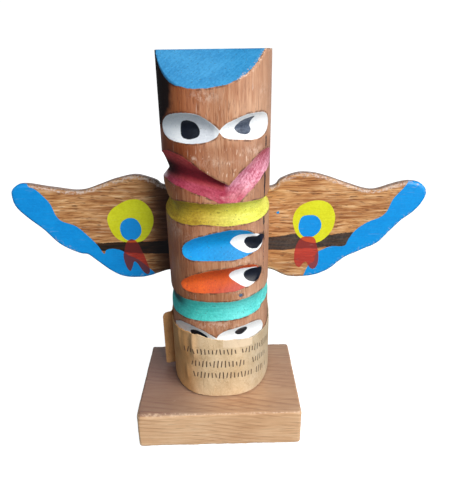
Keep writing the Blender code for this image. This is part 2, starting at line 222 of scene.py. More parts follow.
# The wing board's outlines: share of the wing's reach, share of the wing height
LEFT_WING = ((0.0, 0.873), (0.13, 0.875), (0.261, 0.904), (0.298, 0.949), (0.392, 0.996),
             (0.490, 0.964), (0.572, 0.913), (0.652, 0.869), (0.729, 0.873), (0.824, 0.902),
             (0.930, 0.933), (0.977, 0.907), (1.0, 0.840), (0.989, 0.727), (0.942, 0.622),
             (0.873, 0.505), (0.806, 0.367), (0.714, 0.273), (0.673, 0.256), (0.637, 0.200),
             (0.563, 0.084), (0.482, 0.018), (0.378, 0.024), (0.271, 0.082), (0.13, 0.11))
RIGHT_WING = ((0.0, 0.873), (0.13, 0.858), (0.260, 0.878), (0.298, 0.940), (0.373, 0.991),
              (0.449, 0.989), (0.527, 0.951), (0.625, 0.885), (0.704, 0.838), (0.762, 0.835),
              (0.837, 0.878), (0.912, 0.904), (0.972, 0.875), (1.0, 0.785), (0.963, 0.644),
              (0.893, 0.533), (0.823, 0.387), (0.787, 0.318), (0.710, 0.251), (0.632, 0.182),
              (0.555, 0.060), (0.474, 0.0), (0.351, -0.005), (0.255, 0.073), (0.13, 0.105))

# The wings' paint, in millimetres to the side of and above the origin
LEFT_EDGE_BLUE = ((-89.5, 115.1), (-85.6, 112.6), (-80.3, 106.1), (-78.2, 99.5), (-75.6, 96.5),
                  (-69.5, 94.0), (-64.2, 88.8), (-60.0, 83.5), (-57.3, 78.6), (-56.0, 80.8),
                  (-52.5, 81.5), (-48.1, 80.3), (-45.5, 78.0), (-40.6, 75.4), (-35.3, 70.4),
                  (-32.0, 66.0), (-31.0, 56.0), (-60.0, 50.0), (-112.0, 80.0), (-112.0, 128.0),
                  (-91.0, 124.0))
RIGHT_EDGE_BLUE = ((94.0, 115.5), (91.2, 111.0), (86.5, 105.0), (84.3, 99.1), (81.0, 95.8),
                   (75.0, 93.3), (69.6, 89.3), (66.4, 84.5), (64.4, 80.7), (58.0, 80.7),
                   (54.0, 79.2), (50.5, 77.0), (49.5, 72.5), (47.3, 71.0), (44.6, 65.0),
                   (44.0, 56.0), (75.0, 52.0), (115.0, 85.0), (116.0, 124.0), (96.5, 124.0))
LEFT_STRIPE = ((-66.0, 84.5), (-59.8, 84.6), (-49.0, 85.0), (-34.7, 85.1), (-20.0, 85.5),
               (5.0, 86.0), (5.0, 78.4), (-24.8, 78.4), (-38.2, 78.7), (-47.5, 79.5),
               (-58.0, 80.4), (-66.0, 80.6))
RIGHT_STRIPE = ((-5.0, 86.0), (25.2, 86.3), (32.4, 86.9), (38.1, 87.8), (46.0, 87.2), (56.1, 86.8),
                (61.8, 87.7), (72.0, 87.6), (70.0, 80.8), (55.8, 80.6), (50.8, 79.9), (39.1, 79.7),
                (32.6, 79.1), (25.7, 79.4), (-5.0, 79.0))
LEFT_DISC = ((-53.6, 96.5), (-51.8, 101.0), (-48.0, 104.2), (-42.5, 106.8), (-37.5, 107.0),
             (-33.8, 104.6), (-31.4, 100.5), (-31.0, 95.6), (-33.0, 90.2), (-36.6, 85.9),
             (-41.0, 84.7), (-47.5, 85.4), (-51.6, 89.4))
LEFT_DISC_MIDDLE = ((-47.9, 91.6), (-46.8, 95.4), (-43.3, 97.6), (-39.7, 97.0), (-37.6, 93.8),
                    (-37.6, 89.8), (-39.8, 86.8), (-43.2, 85.6), (-46.6, 87.4))
RIGHT_DISC = ((37.8, 94.4), (38.9, 99.6), (42.4, 103.2), (47.4, 104.9), (52.6, 104.7), (56.6, 102.0),
              (58.8, 96.2), (57.8, 90.0), (54.6, 85.4), (50.0, 82.7), (43.8, 84.0), (39.6, 88.2))
RIGHT_DISC_MIDDLE = ((40.8, 92.2), (42.0, 96.4), (45.6, 97.6), (49.6, 96.9), (52.1, 93.2),
                     (51.2, 88.8), (47.8, 86.0), (43.8, 86.1), (41.4, 88.8))
LEFT_FEATHER = ((-46.9, 80.5), (-45.6, 84.6), (-42.8, 86.6), (-40.2, 85.0), (-38.4, 81.0),
                (-36.6, 75.5), (-35.0, 69.3), (-36.2, 66.8), (-38.4, 68.4), (-41.3, 73.6),
                (-42.7, 74.0), (-44.9, 68.9), (-46.9, 71.8), (-47.7, 76.8))
RIGHT_FEATHER = ((42.0, 85.3), (46.1, 86.3), (49.2, 85.2), (50.4, 81.5), (51.7, 76.0), (51.3, 70.5),
                 (49.3, 68.1), (47.4, 69.1), (45.6, 72.2), (44.2, 71.8), (42.1, 69.2), (40.0, 70.8),
                 (39.2, 74.5), (39.6, 80.0))
WING_SPECK = ((29.5, 99.2), (30.0, 99.9), (30.8, 99.8), (31.1, 99.1), (30.5, 98.5), (29.8, 98.6))

# The paper's torn top edge, by how much it stands above the solid's: across, millimetres
PAPER_EDGE = ((-1.0, 0.0), (-.62, 0.4), (-.50, 2.0), (-.40, 3.0), (-.28, 3.4), (-.19, 3.1), (-.06, 0.9),
              (.05, 0.3), (.13, 0.3), (.29, -1.0), (.42, -1.1), (.60, -2.0), (.80, -2.6), (1.0, -1.5))
# Puckers in the paper: across, up, half width, half height, rise, in shares and millimetres
PAPER_PUCKERS = ((-.33, .195, .16, .060, 0.95), (-.245, .195, .020, .050, 0.80),
                 (-.300, .185, .030, .030, -0.80), (-.415, .200, .024, .045, 0.65),
                 (-.290, .095, .050, .040, 0.45), (-.330, .075, .020, .030, 0.50),
                 (.14, .010, .55, .020, 0.15))
# Rows of marks on the paper: height at the front, slope, droop, first and last place, all in
# millimetres along and up the strip
MARK_ROWS = ((25.9, -0.020, -0.0037, -18.5, 31.5), (19.1, -0.010, -0.0038, -14.5, 27.0),
             (12.7, -0.020, -0.0045, -13.8, 28.0))
MARK_HEIGHT = 3.9
MARK_PITCH = 1.75


# Shapes
def smooth_loop(corners, steps):
    """A closed curve through the points: Catmull-Rom pieces, each a cubic in its share t."""
    start = np.asarray(corners, float)[:, None, :]
    before = np.roll(start, 1, axis=0)
    end = np.roll(start, -1, axis=0)
    after = np.roll(start, -2, axis=0)
    t = (np.arange(steps) / steps)[None, :, None]
    curve = 0.5 * (2 * start + (end - before) * t
                   + (2 * before - 5 * start + 4 * end - after) * t ** 2
                   + (3 * start - before - 3 * end + after) * t ** 3)
    return curve.reshape(-1, 2)


def inside_distance(points, outline, reach):
    """How far each point lies inside a closed outline: the gap to its nearest side, positive where
    a line to the right crosses the outline an odd number of times, and never beyond the reach."""
    low = outline.min(axis=0) - reach
    high = outline.max(axis=0) + reach
    result = np.full(len(points), -float(reach))
    near = np.nonzero(np.all((points > low) & (points < high), axis=1))[0]
    ends = np.roll(outline, -1, axis=0)
    side = ends - outline
    length = np.maximum((side ** 2).sum(axis=1), 1e-12)
    for chunk in np.array_split(near, max(1, len(near) * len(outline) // 2000000)):
        away = points[chunk][:, None, :] - outline[None, :, :]
        share = np.clip((away * side).sum(axis=2) / length, 0.0, 1.0)
        gap = np.sqrt(((away - share[..., None] * side) ** 2).sum(axis=2).min(axis=1))
        level = points[chunk][:, 1][:, None]
        spans = (outline[None, :, 1] > level) != (ends[None, :, 1] > level)
        rise = np.where(np.abs(side[:, 1]) < 1e-12, 1e-12, side[:, 1])
        crossing = outline[None, :, 0] + (level - outline[None, :, 1]) / rise * side[None, :, 0]
        odd = (spans & (points[chunk][:, 0][:, None] < crossing)).sum(axis=1) % 2 == 1
        result[chunk] = np.clip(np.where(odd, gap, -gap), -reach, reach)
    return result


def edge_heights(loop, x):
    """A clockwise outline's upper and lower height at each place across, from its two halves."""
    tip_right = np.argmax(loop[:, 0])
    loop = np.roll(loop, -tip_right, axis=0)
    tip_left = np.argmin(loop[:, 0])
    lower = loop[:tip_left + 1][::-1]
    upper = np.concatenate([loop[tip_left:], loop[:1]])
    lower = lower[np.argsort(lower[:, 0])]
    upper = upper[np.argsort(upper[:, 0])]
    return np.interp(x, upper[:, 0], upper[:, 1]), np.interp(x, lower[:, 0], lower[:, 1])


def ripple(place, pitch, seed):
    """A smooth uneven wave of about unit height: three sines whose lengths don't fit together."""
    turn = 2 * math.pi * np.asarray(place) / pitch
    return (np.sin(turn + 1.7 * seed) + 0.6 * np.sin(1.83 * turn + 2.9 * seed)
            + 0.4 * np.sin(3.11 * turn + 4.1 * seed)) / 2.0


def smooth_step(value, start, end):
    """0 before the start and 1 after the end, with a soft rise 3t^2 - 2t^3 between them."""
    t = np.clip((value - start) / (end - start), 0.0, 1.0)
    return t * t * (3.0 - 2.0 * t)


def follow(place, table):
    """The table's second number at each place, straight between its entries."""
    known, value = np.array(table).T
    return np.interp(place, known, value)


def loft_faces(rows, columns):
    """Quads between a grid's neighbouring rows, whose columns go round to the first."""
    start = np.arange(columns)
    ahead = (start + 1) % columns
    base = (np.arange(rows - 1) * columns)[:, None]
    quads = np.stack([base + start, base + ahead, base + columns + ahead, base + columns + start],
                     axis=2)
    return quads.reshape(-1, 4).tolist()


def fan_faces(ring, centre, flip=False):
    """Triangles from a ring of corner numbers to one centre."""
    ahead = np.roll(ring, -1)
    triangles = np.stack([ring, ahead, np.full(len(ring), centre)], axis=1)
    return (triangles[:, ::-1] if flip else triangles).tolist()


def make_piece(name, points, faces, node, material, marks, sharp=40):
    """Puts the points and faces in a mesh with its marks, and lets it stand for the solid."""
    mesh = bpy.data.meshes.new(name)
    mesh.from_pydata(np.asarray(points, float).tolist(), [], faces)
    mesh.validate()
    for label, values in marks.items():
        layer = mesh.attributes.new(label, "FLOAT", "POINT")
        layer.data.foreach_set("value", np.asarray(values, np.float32).ravel())
    mesh.shade_smooth()
    mesh.set_sharp_from_angle(angle=math.radians(sharp))
    mesh.materials.append(material)
    piece = bpy.data.objects.new(name, mesh)
    bpy.context.scene.collection.objects.link(piece)
    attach(piece, "root")
    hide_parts(node)


# The pole
def pole_section(count):
    """The rounded front from the left back corner to the right one, evenly spaced.

    x = width/2 sin(t)^(2/n) and y = -depth cos(t)^(2/n) for t from -90 to 90 degrees. Returns the
    points, their outward normals and half the curve's length.
    """
    power = 2.0 / POLE_ROUNDNESS
    t = np.linspace(-math.pi / 2, math.pi / 2, 4001)
    x = POLE_WIDTH / 2 * np.sign(t) * np.abs(np.sin(t)) ** power
    y = -POLE_DEPTH * np.abs(np.cos(t)) ** power
    length = np.concatenate([[0.0], np.cumsum(np.hypot(np.diff(x), np.diff(y)))])
    even = np.linspace(0.0, length[-1], count + 1)
    points = np.stack([np.interp(even, length, x), np.interp(even, length, y)], axis=1)
    along = np.gradient(points, axis=0)
    along[0] = (0.0, -1.0)
    along[-1] = (0.0, 1.0)
    along /= np.linalg.norm(along, axis=1)[:, None]
    return points, np.stack([along[:, 1], -along[:, 0]], axis=1), length[-1] / 2


def between(upper, lower):
    """A closed outline from an upper edge and a lower edge, both given from left to right."""
    return np.array(tuple(upper) + tuple(lower)[::-1])


def unrolled(outline, half_girth):
    """An outline in shares as millimetres along and up the pole's skin."""
    return np.asarray(outline) * (half_girth / MM, POLE_LENGTH / MM)


def painted(places, outlines, half_girth, steps):
    """The largest inside distance of each place over several outlines, in millimetres."""
    gaps = [inside_distance(places, unrolled(smooth_loop(line, steps), half_girth), PAINT_REACH)
            for line in outlines]
    return np.max(np.stack(gaps), axis=0)


def channel(up, top, foot, depth, power=2.0):
    """A hollow between two edges: depth * (1 - |place|^power), place running from -1 to 1."""
    middle = (top + foot) / 2
    place = (up - middle) / np.maximum((top - foot) / 2, 1e-4)
    return depth * np.clip(1.0 - np.abs(place) ** power, 0.0, 1.0)


def chord_depth(section, normals, left_end, right_end):
    """How far a straight chord between two places on the front lies under it, in millimetres: from
    a point P along its normal N the line from A to B is (P - A) x (B - A) / N x (B - A) away."""
    columns = np.linspace(-1.0, 1.0, len(section))
    start, end = (np.array([np.interp(place, columns, section[:, k]) for k in (0, 1)])
                  for place in (left_end, right_end))
    side = end - start
    away = section - start
    depth = ((away[:, 0] * side[1] - away[:, 1] * side[0])
             / (normals[:, 0] * side[1] - normals[:, 1] * side[0]))
    inside = (columns > left_end) & (columns < right_end)
    return np.where(inside, np.clip(depth, 0.0, None), 0.0) / MM


def scoop(section, normals, across, up, outline, flatness):
    """The hollow of an eye or oval: its floor follows the chord between its two ends, and a
    rounded V runs from its upper edge to its lower edge."""
    loop = smooth_loop(outline, 6)
    top, foot = edge_heights(loop, across)
    depth = flatness * chord_depth(section, normals, loop[:, 0].min(), loop[:, 0].max())
    return channel(up, top, foot, depth, SCOOP_POWER)


def left_cut(across, up):
    """The left arm of the V: a steep face from its upper edge down to the valley, and a long
    slightly hollow face from there to its lower edge."""
    top = follow(across, LEFT_V[:10] + ((.20, .662),))
    foot = follow(across, LEFT_V[:11:-1] + ((.20, .628),))
    valley = np.minimum(follow(across, LEFT_VALLEY), top - 0.002)
    depth = follow(across, LEFT_CUT_DEPTH)
    above = np.clip((top - up) / (top - valley), 0.0, 1.0)
    below = np.clip((up - foot) / (valley - foot), 0.0, 1.0)
    steep = above ** 0.75
    shallow = 1.0 - (1.0 - below) ** 1.35
    share = np.minimum(steep, shallow)
    return depth * np.where((up < top) & (up > foot), share, 0.0)


def right_cut(across, up):
    """The right arm of the V: a round-bottomed gouge that runs up to the right and fades out."""
    top = follow(across, ((.03, .655), (.106, .678), (.174, .702), (.261, .725), (.370, .748),
                          (.460, .757), (.60, .754), (.70, .746)))
    foot = follow(across, ((.03, .640), (.106, .630), (.174, .629), (.235, .642), (.290, .655),
                           (.374, .671), (.440, .684), (.60, .699), (.70, .714)))
    depth = follow(across, RIGHT_CUT_DEPTH)
    return np.where((across > .03) & (across < .68), channel(up, top, foot, depth), 0.0)


def carving(section, normals, columns, up):
    """How far the carving goes in, in millimetres: the deepest of all cuts at each place."""
    across = np.broadcast_to(columns, up.shape)
    ring = channel(up, follow(across, YELLOW_TOP), follow(across, YELLOW_FOOT), RING_DEPTH)
    low_ring = channel(up, follow(across, TEAL_TOP), follow(across, TEAL_FOOT),
                       follow(across, LOW_RING_DEPTHS))
    cuts = [ring, low_ring, left_cut(across, up), right_cut(across, up)]
    for outlines, flatness in (((LEFT_EYE, RIGHT_EYE), EYE_FLATNESS),
                               ((BLUE_OVAL, ORANGE_OVAL), OVAL_FLATNESS),
                               ((LOW_LEFT_EYE, LOW_RIGHT_EYE), LOW_EYE_FLATNESS)):
        cuts += [scoop(section, normals, columns[0], up, outline, flatness) for outline in outlines]
    return np.max(np.stack(cuts), axis=0)


def top_height(x, y):
    """The height of the pole's top: the lower of the level end and the sloping cut, with the edge
    between them slightly rounded by (a + b - sqrt((a - b)^2 + e^2)) / 2."""
    slope = POLE_LENGTH + BEVEL_SIDE_SLOPE * x + BEVEL_SLOPE * (y - BEVEL_RUN + POLE_DEPTH)
    soft = 0.0005
    return (POLE_LENGTH + slope - np.sqrt((POLE_LENGTH - slope) ** 2 + soft ** 2)) / 2


def front_rows(section, normals, across, half_girth, top):
    """The front from the foot to just under the rim: level rows, wide under the paper and close
    where the pole is carved, then rows that ease over to the top's slope. Returns their points in
    plan, their heights and their marks."""
    level = np.concatenate([np.linspace(0.0, PLAIN_TOP, POLE_PLAIN_ROWS)[:-1],
                            np.linspace(PLAIN_TOP, CARVED_TOP, POLE_CARVED_ROWS)])
    rise = np.linspace(0.0, 1.0, POLE_UPPER_ROWS)[1:]
    upper = CARVED_TOP + (top[None, :] - RIM_ROUND / POLE_LENGTH - CARVED_TOP) * rise[:, None]
    up = np.concatenate([np.broadcast_to(level[:, None], (len(level), len(across))), upper])
    plan, marks = carved_rows(section, normals, across[None, :], half_girth, up)
    return plan, up * POLE_LENGTH, marks


def carved_rows(section, normals, across, half_girth, up):
    """The front's points and paint marks at the given heights (rows by columns)."""
    places = np.stack([np.broadcast_to(across, up.shape) * half_girth / MM,
                       up * POLE_LENGTH / MM], axis=2).reshape(-1, 2)
    loops = {
        "maroon": (LEFT_V, RIGHT_V),
        "yellow": (between(YELLOW_TOP, YELLOW_FOOT),),
        "teal": (between(TEAL_TOP, TEAL_FOOT),),
        "blue": (BLUE_OVAL, BLUE_DOT), "orange": (ORANGE_OVAL,),
        "white": (LEFT_EYE, RIGHT_EYE, BLUE_OVAL_WHITE, ORANGE_WHITE, LOW_LEFT_EYE, LOW_RIGHT_EYE),
        "black": (LEFT_PUPIL, RIGHT_PUPIL, BLUE_OVAL_PUPIL, ORANGE_PUPIL, LOW_LEFT_PUPIL,
                  LOW_RIGHT_PUPIL),
        "dark_flank": (FLANK_DARK_PATCH,),
    }
    marks = {}
    for label, outlines in loops.items():
        steps = 1 if label in ("yellow", "teal") else 5
        marks[label] = painted(places, outlines, half_girth, steps).reshape(up.shape)
    depth = np.where(up < CARVED_TOP, carving(section, normals, across, up) * MM, 0.0)
    plan = section[None, :, :] - normals[None, :, :] * depth[..., None]
    return plan, marks


def add_rim(section, normals, plan, height, marks):
    """The worn rim: a quarter turn inwards, each point level with the top under it, carrying the
    marks of the row below."""
    inward = RIM_ROUND * (1 - np.cos(RIM_TURN))
    rim = section[None] - normals[None] * inward[:, None, None]
    rim_height = top_height(rim[..., 0], rim[..., 1]) - (RIM_ROUND * (1 - np.sin(RIM_TURN)))[:, None]
    marks = {label: np.concatenate([gap, np.repeat(gap[-1:], len(RIM_TURN), axis=0)])
             for label, gap in marks.items()}
    return np.concatenate([plan, rim]), np.concatenate([height, rim_height]), marks


def facet_mark(across, height):
    """How far each place lies over the left cut's valley, in millimetres, and far under it at the
    V's right arm."""
    over = (height / POLE_LENGTH - follow(across, LEFT_VALLEY)[None, :]) * POLE_LENGTH / MM
    return over - 40.0 * smooth_step(across, 0.06, 0.15)[None, :]


def add_rim_marks(marks, across, below_rim, bare, worn):
    """Blue laps over the left rim, and the rim's right part is bare and worn."""
    lap = follow(across, BLUE_LAP) + 0.15 * ripple(across * 50, 7.0, 2)
    lap_gap = lap[None, :] - below_rim - 3.0 * bare[None, :]
    marks["blue"] = np.maximum(marks["blue"], np.where(below_rim < LAP_REACH, lap_gap, UNPAINTED))
    marks["rim"] = np.where(below_rim < RIM_REACH, RIM_REACH - below_rim, 0.0) * worn[None, :]


def wood_marks(across, height, half_girth):
    """The bare wood's marks: the gap to the crack and its half width, in millimetres, and how
    rubbed each place is, as a sum of bell curves."""
    up = height / POLE_LENGTH
    crack = (across[None, :] - follow(up, SIDE_CRACK)) * half_girth / MM
    width = np.where(np.abs(crack) < 3.0, follow(up, CRACK_WIDTH), ELSEWHERE["crack width"])
    worn = np.zeros(up.shape)
    for middle, level, half_width, half_height, strength in WORN_PLACES:
        worn += strength * np.exp(-((across[None, :] - middle) / half_width) ** 2
                                  - ((up - level) / half_height) ** 2)
    return {"crack": crack, "crack width": width, "worn": worn}


def add_back(plan, height):
    """The flat back, straight between the carved corners, so that each row closes on itself."""
    share = (np.arange(POLE_BACK_COLUMNS) + 0.5) / POLE_BACK_COLUMNS
    right = plan[:, -1:, :]
    left = plan[:, :1, :]
    back = right + (left - right) * share[None, :, None]
    back[..., 1] = 0.0
    back[-len(RIM_TURN):, :, 1] = -RIM_ROUND * (1 - np.cos(RIM_TURN))[:, None]
    plan[:, (0, -1), 1] = -BACK_CORNER
    back_height = np.repeat(height[:, -1:], POLE_BACK_COLUMNS, axis=1)
    turn = np.concatenate([[0.0], RIM_TURN])
    back_height[-len(turn):] = POLE_LENGTH - RIM_ROUND * (1 - np.sin(turn))[:, None]
    return np.concatenate([plan, back], axis=1), np.concatenate([height, back_height], axis=1)


def top_rings(rim):
    """The top: each ring a share of the way from the rim to the middle of the ridge. Returns the
    rings in plan, their heights and how far each point is from the rim, in millimetres."""
    share = 1.0 - (np.arange(1, POLE_CAP_ROWS) / POLE_CAP_ROWS)
    plan = np.array((0.0, RIDGE)) + (rim[None] - (0.0, RIDGE)) * share[:, None, None]
    return plan, top_height(plan[..., 0], plan[..., 1]), np.linalg.norm(rim[None] - plan, axis=2) / MM


def make_pole(material):
    """The carved pole as a closed skin: rows round its front, sides and back, a worn rim and a top
    whose rings close in on the middle of the ridge."""
    section, normals, half_girth = pole_section(POLE_FRONT_COLUMNS)
    across = np.linspace(-1.0, 1.0, POLE_FRONT_COLUMNS + 1)
    top = top_height(section[:, 0], section[:, 1]) / POLE_LENGTH
    plan, height, marks = front_rows(section, normals, across, half_girth, top)
    plan, height, marks = add_rim(section, normals, plan, height, marks)
    bare = follow(across, BARE_RIM) * (1.0 + 0.45 * ripple(across, 0.034, 3))
    worn = smooth_step(across, 0.08, 0.22)
    marks["upper facet"] = facet_mark(across, height)
    add_rim_marks(marks, across, (top[None, :] * POLE_LENGTH - height) / MM, bare, worn)
    marks.update(wood_marks(across, height, half_girth))
    rows = len(height)
    plan, height = add_back(plan, height)
    columns = height.shape[1]
    cap_plan, cap_height, from_rim = top_rings(plan[-1])
    bare, worn = (np.append(values, np.zeros(POLE_BACK_COLUMNS)) for values in (bare, worn))
    cap_blue = np.clip(from_rim + 0.5 - 1.6 * bare, -3, 6) + 6.0 * (bare <= 0.0)
    cap_rim = np.clip(RIM_REACH - from_rim, 0.0, RIM_REACH) * worn
    caps = {"blue": (cap_blue, WELL_PAINTED), "rim": (cap_rim, 0.0)}
    layers = {}
    for label, skin in marks.items():
        plain = ELSEWHERE.get(label, UNPAINTED)
        cap, middle = caps.get(label, (plain, plain))
        skin = np.concatenate([skin, np.full((rows, POLE_BACK_COLUMNS), plain)], axis=1)
        cap = np.broadcast_to(cap, cap_height.shape)
        layers[label] = np.concatenate([skin.ravel(), cap.ravel(), [middle, plain]])
    plan = np.concatenate([plan, cap_plan])
    height = np.concatenate([height, cap_height])
    points = np.dstack([plan[..., 0] + POLE_LEAN * height, plan[..., 1], height]).reshape(-1, 3)
    count = len(points)
    points = np.concatenate([points, [(POLE_LEAN * POLE_LENGTH, RIDGE, POLE_LENGTH - 0.00025),
                                      (0.0, RIDGE, 0.0)]])
    points += (POLE_SIDE_OFFSET, POLE_BACK, POLE_FOOT)
    faces = loft_faces(len(height), columns)
    faces += fan_faces(np.arange(count - columns, count), count)
    faces += fan_faces(np.arange(columns), count + 1, flip=True)
    make_piece("carved_pole", points, faces, "pole", material, layers)


# The wing board
def wing_loop():
    """Both wings as one closed outline in the board's plane, in metres from the origin."""
    left = np.array(LEFT_WING) * (-WING_REACH_LEFT, WING_HEIGHT)
    right = np.array(RIGHT_WING) * (WING_REACH_RIGHT, WING_HEIGHT)
    bottom = [(0.0, (left[-1, 1] + right[-1, 1]) / 2)]
    loop = smooth_loop(np.concatenate([right, bottom, left[::-1][:-1]]), 8)
    return loop + (WING_CENTRE, POLE_FOOT + POLE_LENGTH * WING_FOOT)


def board_slices(loop):
    """Places over the board: slices from tip to tip, closer near the tips, each from its lower to
    its upper edge. Returns them and each slice's middle height."""
    left = loop[:, 0].min()
    right = loop[:, 0].max()
    s = np.linspace(0.0, 1.0, WING_COLUMNS)
    mixed = 0.35 * (0.5 - 0.5 * np.cos(math.pi * s)) + 0.65 * s
    x = left + TIP_INSET + (right - left - 2 * TIP_INSET) * mixed
    high, low = edge_heights(loop, x)
    t = 0.5 - 0.5 * np.cos(np.linspace(0.0, math.pi, WING_ROWS))
    z = low[:, None] + (high - low)[:, None] * t[None, :]
    return np.dstack([np.broadcast_to(x[:, None], z.shape), z]), (high + low)[:, None] / 2


def both_faces(values):
    """A mark on the board's front, the same on its back, and nought at its two tips."""
    return np.append(np.concatenate([values, values[:, ::-1]], axis=1), (0.0, 0.0))


def make_wings(material):
    """The wing board: slices across it, each a closed loop up the front and down the back. The face
    falls away near the outline as y = R - sqrt(R^2 - (R - d)^2), d being the gap to the outline."""
    loop = wing_loop()
    plane, middle = board_slices(loop)
    x = plane[..., 0]
    z = plane[..., 1]
    gap = np.abs(inside_distance(plane.reshape(-1, 2) * 1000, loop * 1000, 12.0)).reshape(z.shape) * MM
    wear = BOARD_EDGE_ROUND * (1.0 + 0.22 * ripple(x, 0.037, 3) + 0.12 * ripple(z + x, 0.011, 5))
    inner = np.clip(wear - gap, 0.0, None)
    fall = wear - np.sqrt(np.clip(wear ** 2 - inner ** 2, 0.0, None))
    front_y = POLE_BACK + TOUCH_GAP
    front = np.dstack([x, front_y + fall, z])
    back = np.dstack([x, front_y + BOARD_THICKNESS - fall, z])[:, ::-1]
    rings = np.concatenate([front, back], axis=1)
    columns = rings.shape[1]
    count = WING_COLUMNS * columns
    points = np.concatenate([rings.reshape(-1, 3), [rings[0].mean(axis=0), rings[-1].mean(axis=0)]])
    faces = [quad[::-1] for quad in loft_faces(WING_COLUMNS, columns)]
    faces += fan_faces(np.arange(columns), count)
    faces += fan_faces(np.arange(count - columns, count), count + 1, flip=True)
    spots = points[:, (0, 2)] / MM
    on_front = points[:, 1] < front_y + BOARD_THICKNESS * 0.55
    loops = {"blue": (LEFT_EDGE_BLUE, RIGHT_EDGE_BLUE, WING_SPECK),
             "black": (LEFT_STRIPE, RIGHT_STRIPE),
             "yellow": (LEFT_DISC, RIGHT_DISC),
             "disc middle": (LEFT_DISC_MIDDLE, RIGHT_DISC_MIDDLE),
             "red": (LEFT_FEATHER, RIGHT_FEATHER)}
    marks = {}
    for label, outlines in loops.items():
        gaps = [inside_distance(spots, smooth_loop(line, 6), WING_PAINT_REACH) for line in outlines]
        marks[label] = np.where(on_front, np.max(np.stack(gaps), axis=0), UNPAINTED)
    marks["rim"] = both_faces(gap) / MM
    marks["upper edge"] = both_faces(z > middle)
    make_piece("painted_wings", points, faces, "wing_board", material, marks, 50)


# The paper strip
def arc(centre, radius, start_degrees, end_degrees, count):
    """Points round a centre in plan."""
    turn = np.radians(np.linspace(start_degrees, end_degrees, count))
    return centre + radius * np.stack([np.cos(turn), np.sin(turn)], axis=1)


def paper_path():
    """The paper's middle line in plan, from its start on the left side round the front, the right
    side, the back and the left back corner to the loose end, bent out at the left."""
    offset = TOUCH_GAP + PAPER_THICKNESS / 2
    section, normals, _ = pole_section(BAND_SECTION)
    wrapped = section + normals * offset
    left_side = np.arange(BAND_SECTION + 1) < BAND_SECTION // 2
    front = wrapped[~left_side | (section[:, 1] < -BAND_START)]
    radius = BAND_CORNER_RADIUS
    corner = np.array([POLE_WIDTH / 2 + offset - radius, offset - radius])
    right_turn = arc(corner, radius, 30, 90, 5)
    back = np.array([(share * POLE_WIDTH, offset) for share in (0.25, 0.0, -0.25)])
    left_turn = arc(corner * (-1, 1), radius, 90, 180, 6)
    side = wrapped[left_side & (section[:, 1] < -FLAP_ROOT / 2) & (section[:, 1] > -FLAP_ROOT)]
    root = side[-1] + (-FLAP_BEND_RADIUS, -FLAP_ROOT_STEP)
    bend = arc(root, FLAP_BEND_RADIUS, 0, -FLAP_BEND_ANGLE, 7)
    heading = math.radians(-FLAP_BEND_ANGLE - 90.0)
    ahead = np.array([math.cos(heading), math.sin(heading)])
    flap = bend[-1] + ahead * (FLAP_LENGTH * np.array([0.3, 0.6, 0.85, 1.0]))[:, None]
    return np.concatenate([front[:-1], right_turn, back, left_turn, side, bend, flap])


def even_path(rough):
    """The path with its points evenly spaced and lightly smoothed, and each point's place on it."""
    length = np.concatenate([[0.0], np.cumsum(np.hypot(*np.diff(rough, axis=0).T))])
    even = np.linspace(0.0, length[-1], int(length[-1] / BAND_PITCH))
    path = np.stack([np.interp(even, length, rough[:, k]) for k in (0, 1)], axis=1)
    kernel = np.array((1.0, 2.0, 3.0, 2.0, 1.0)) / 9.0
    inner = np.stack([np.convolve(path[:, k], kernel, "same") for k in (0, 1)], axis=1)
    path[2:-2] = inner[2:-2]
    return path, even


def strip_edges(run, across, left):
    """The heights of the strip's torn upper edge and of its lower edge, both rounded off where
    little of the strip is left before its loose end."""
    drop = FLAP_CORNER * (1.0 - np.sqrt(1.0 - np.clip(1.0 - left / FLAP_CORNER, 0.0, 1.0) ** 2))
    edge = follow(across, PAPER_EDGE) * (across < 1.0)
    torn = 0.12 * ripple(run, 0.0053, 4) + 0.08 * ripple(run, 0.0017, 9)
    top = BAND_FOOT_CLEARANCE + BAND_WIDTH - drop + (edge + torn) * MM
    uneven = 0.06 * MM * (1 + ripple(run, 0.004, 7))
    return top, BAND_FOOT_CLEARANCE + drop * FLAP_LOW_CORNER_SHARE + uneven


def pucker_rise(run, across, height):
    """How far the wrapped paper stands out, in millimetres: bell curves and a slight wave."""
    up = height / POLE_LENGTH
    push = np.zeros(height.shape)
    for middle, level, half_width, half_height, rise in PAPER_PUCKERS:
        push += rise * np.exp(-((across[None, :] - middle) / half_width) ** 2
                              - ((up - level) / half_height) ** 2)
    wrapped = ((across > -0.62) & (across < 0.95))[None, :]
    wave = 0.07 * (1 + ripple(run[None, :] + 0.4 * height, 0.009, 6)) * wrapped
    return np.where(wrapped, np.clip(push, 0.0, None), 0.0) + wave


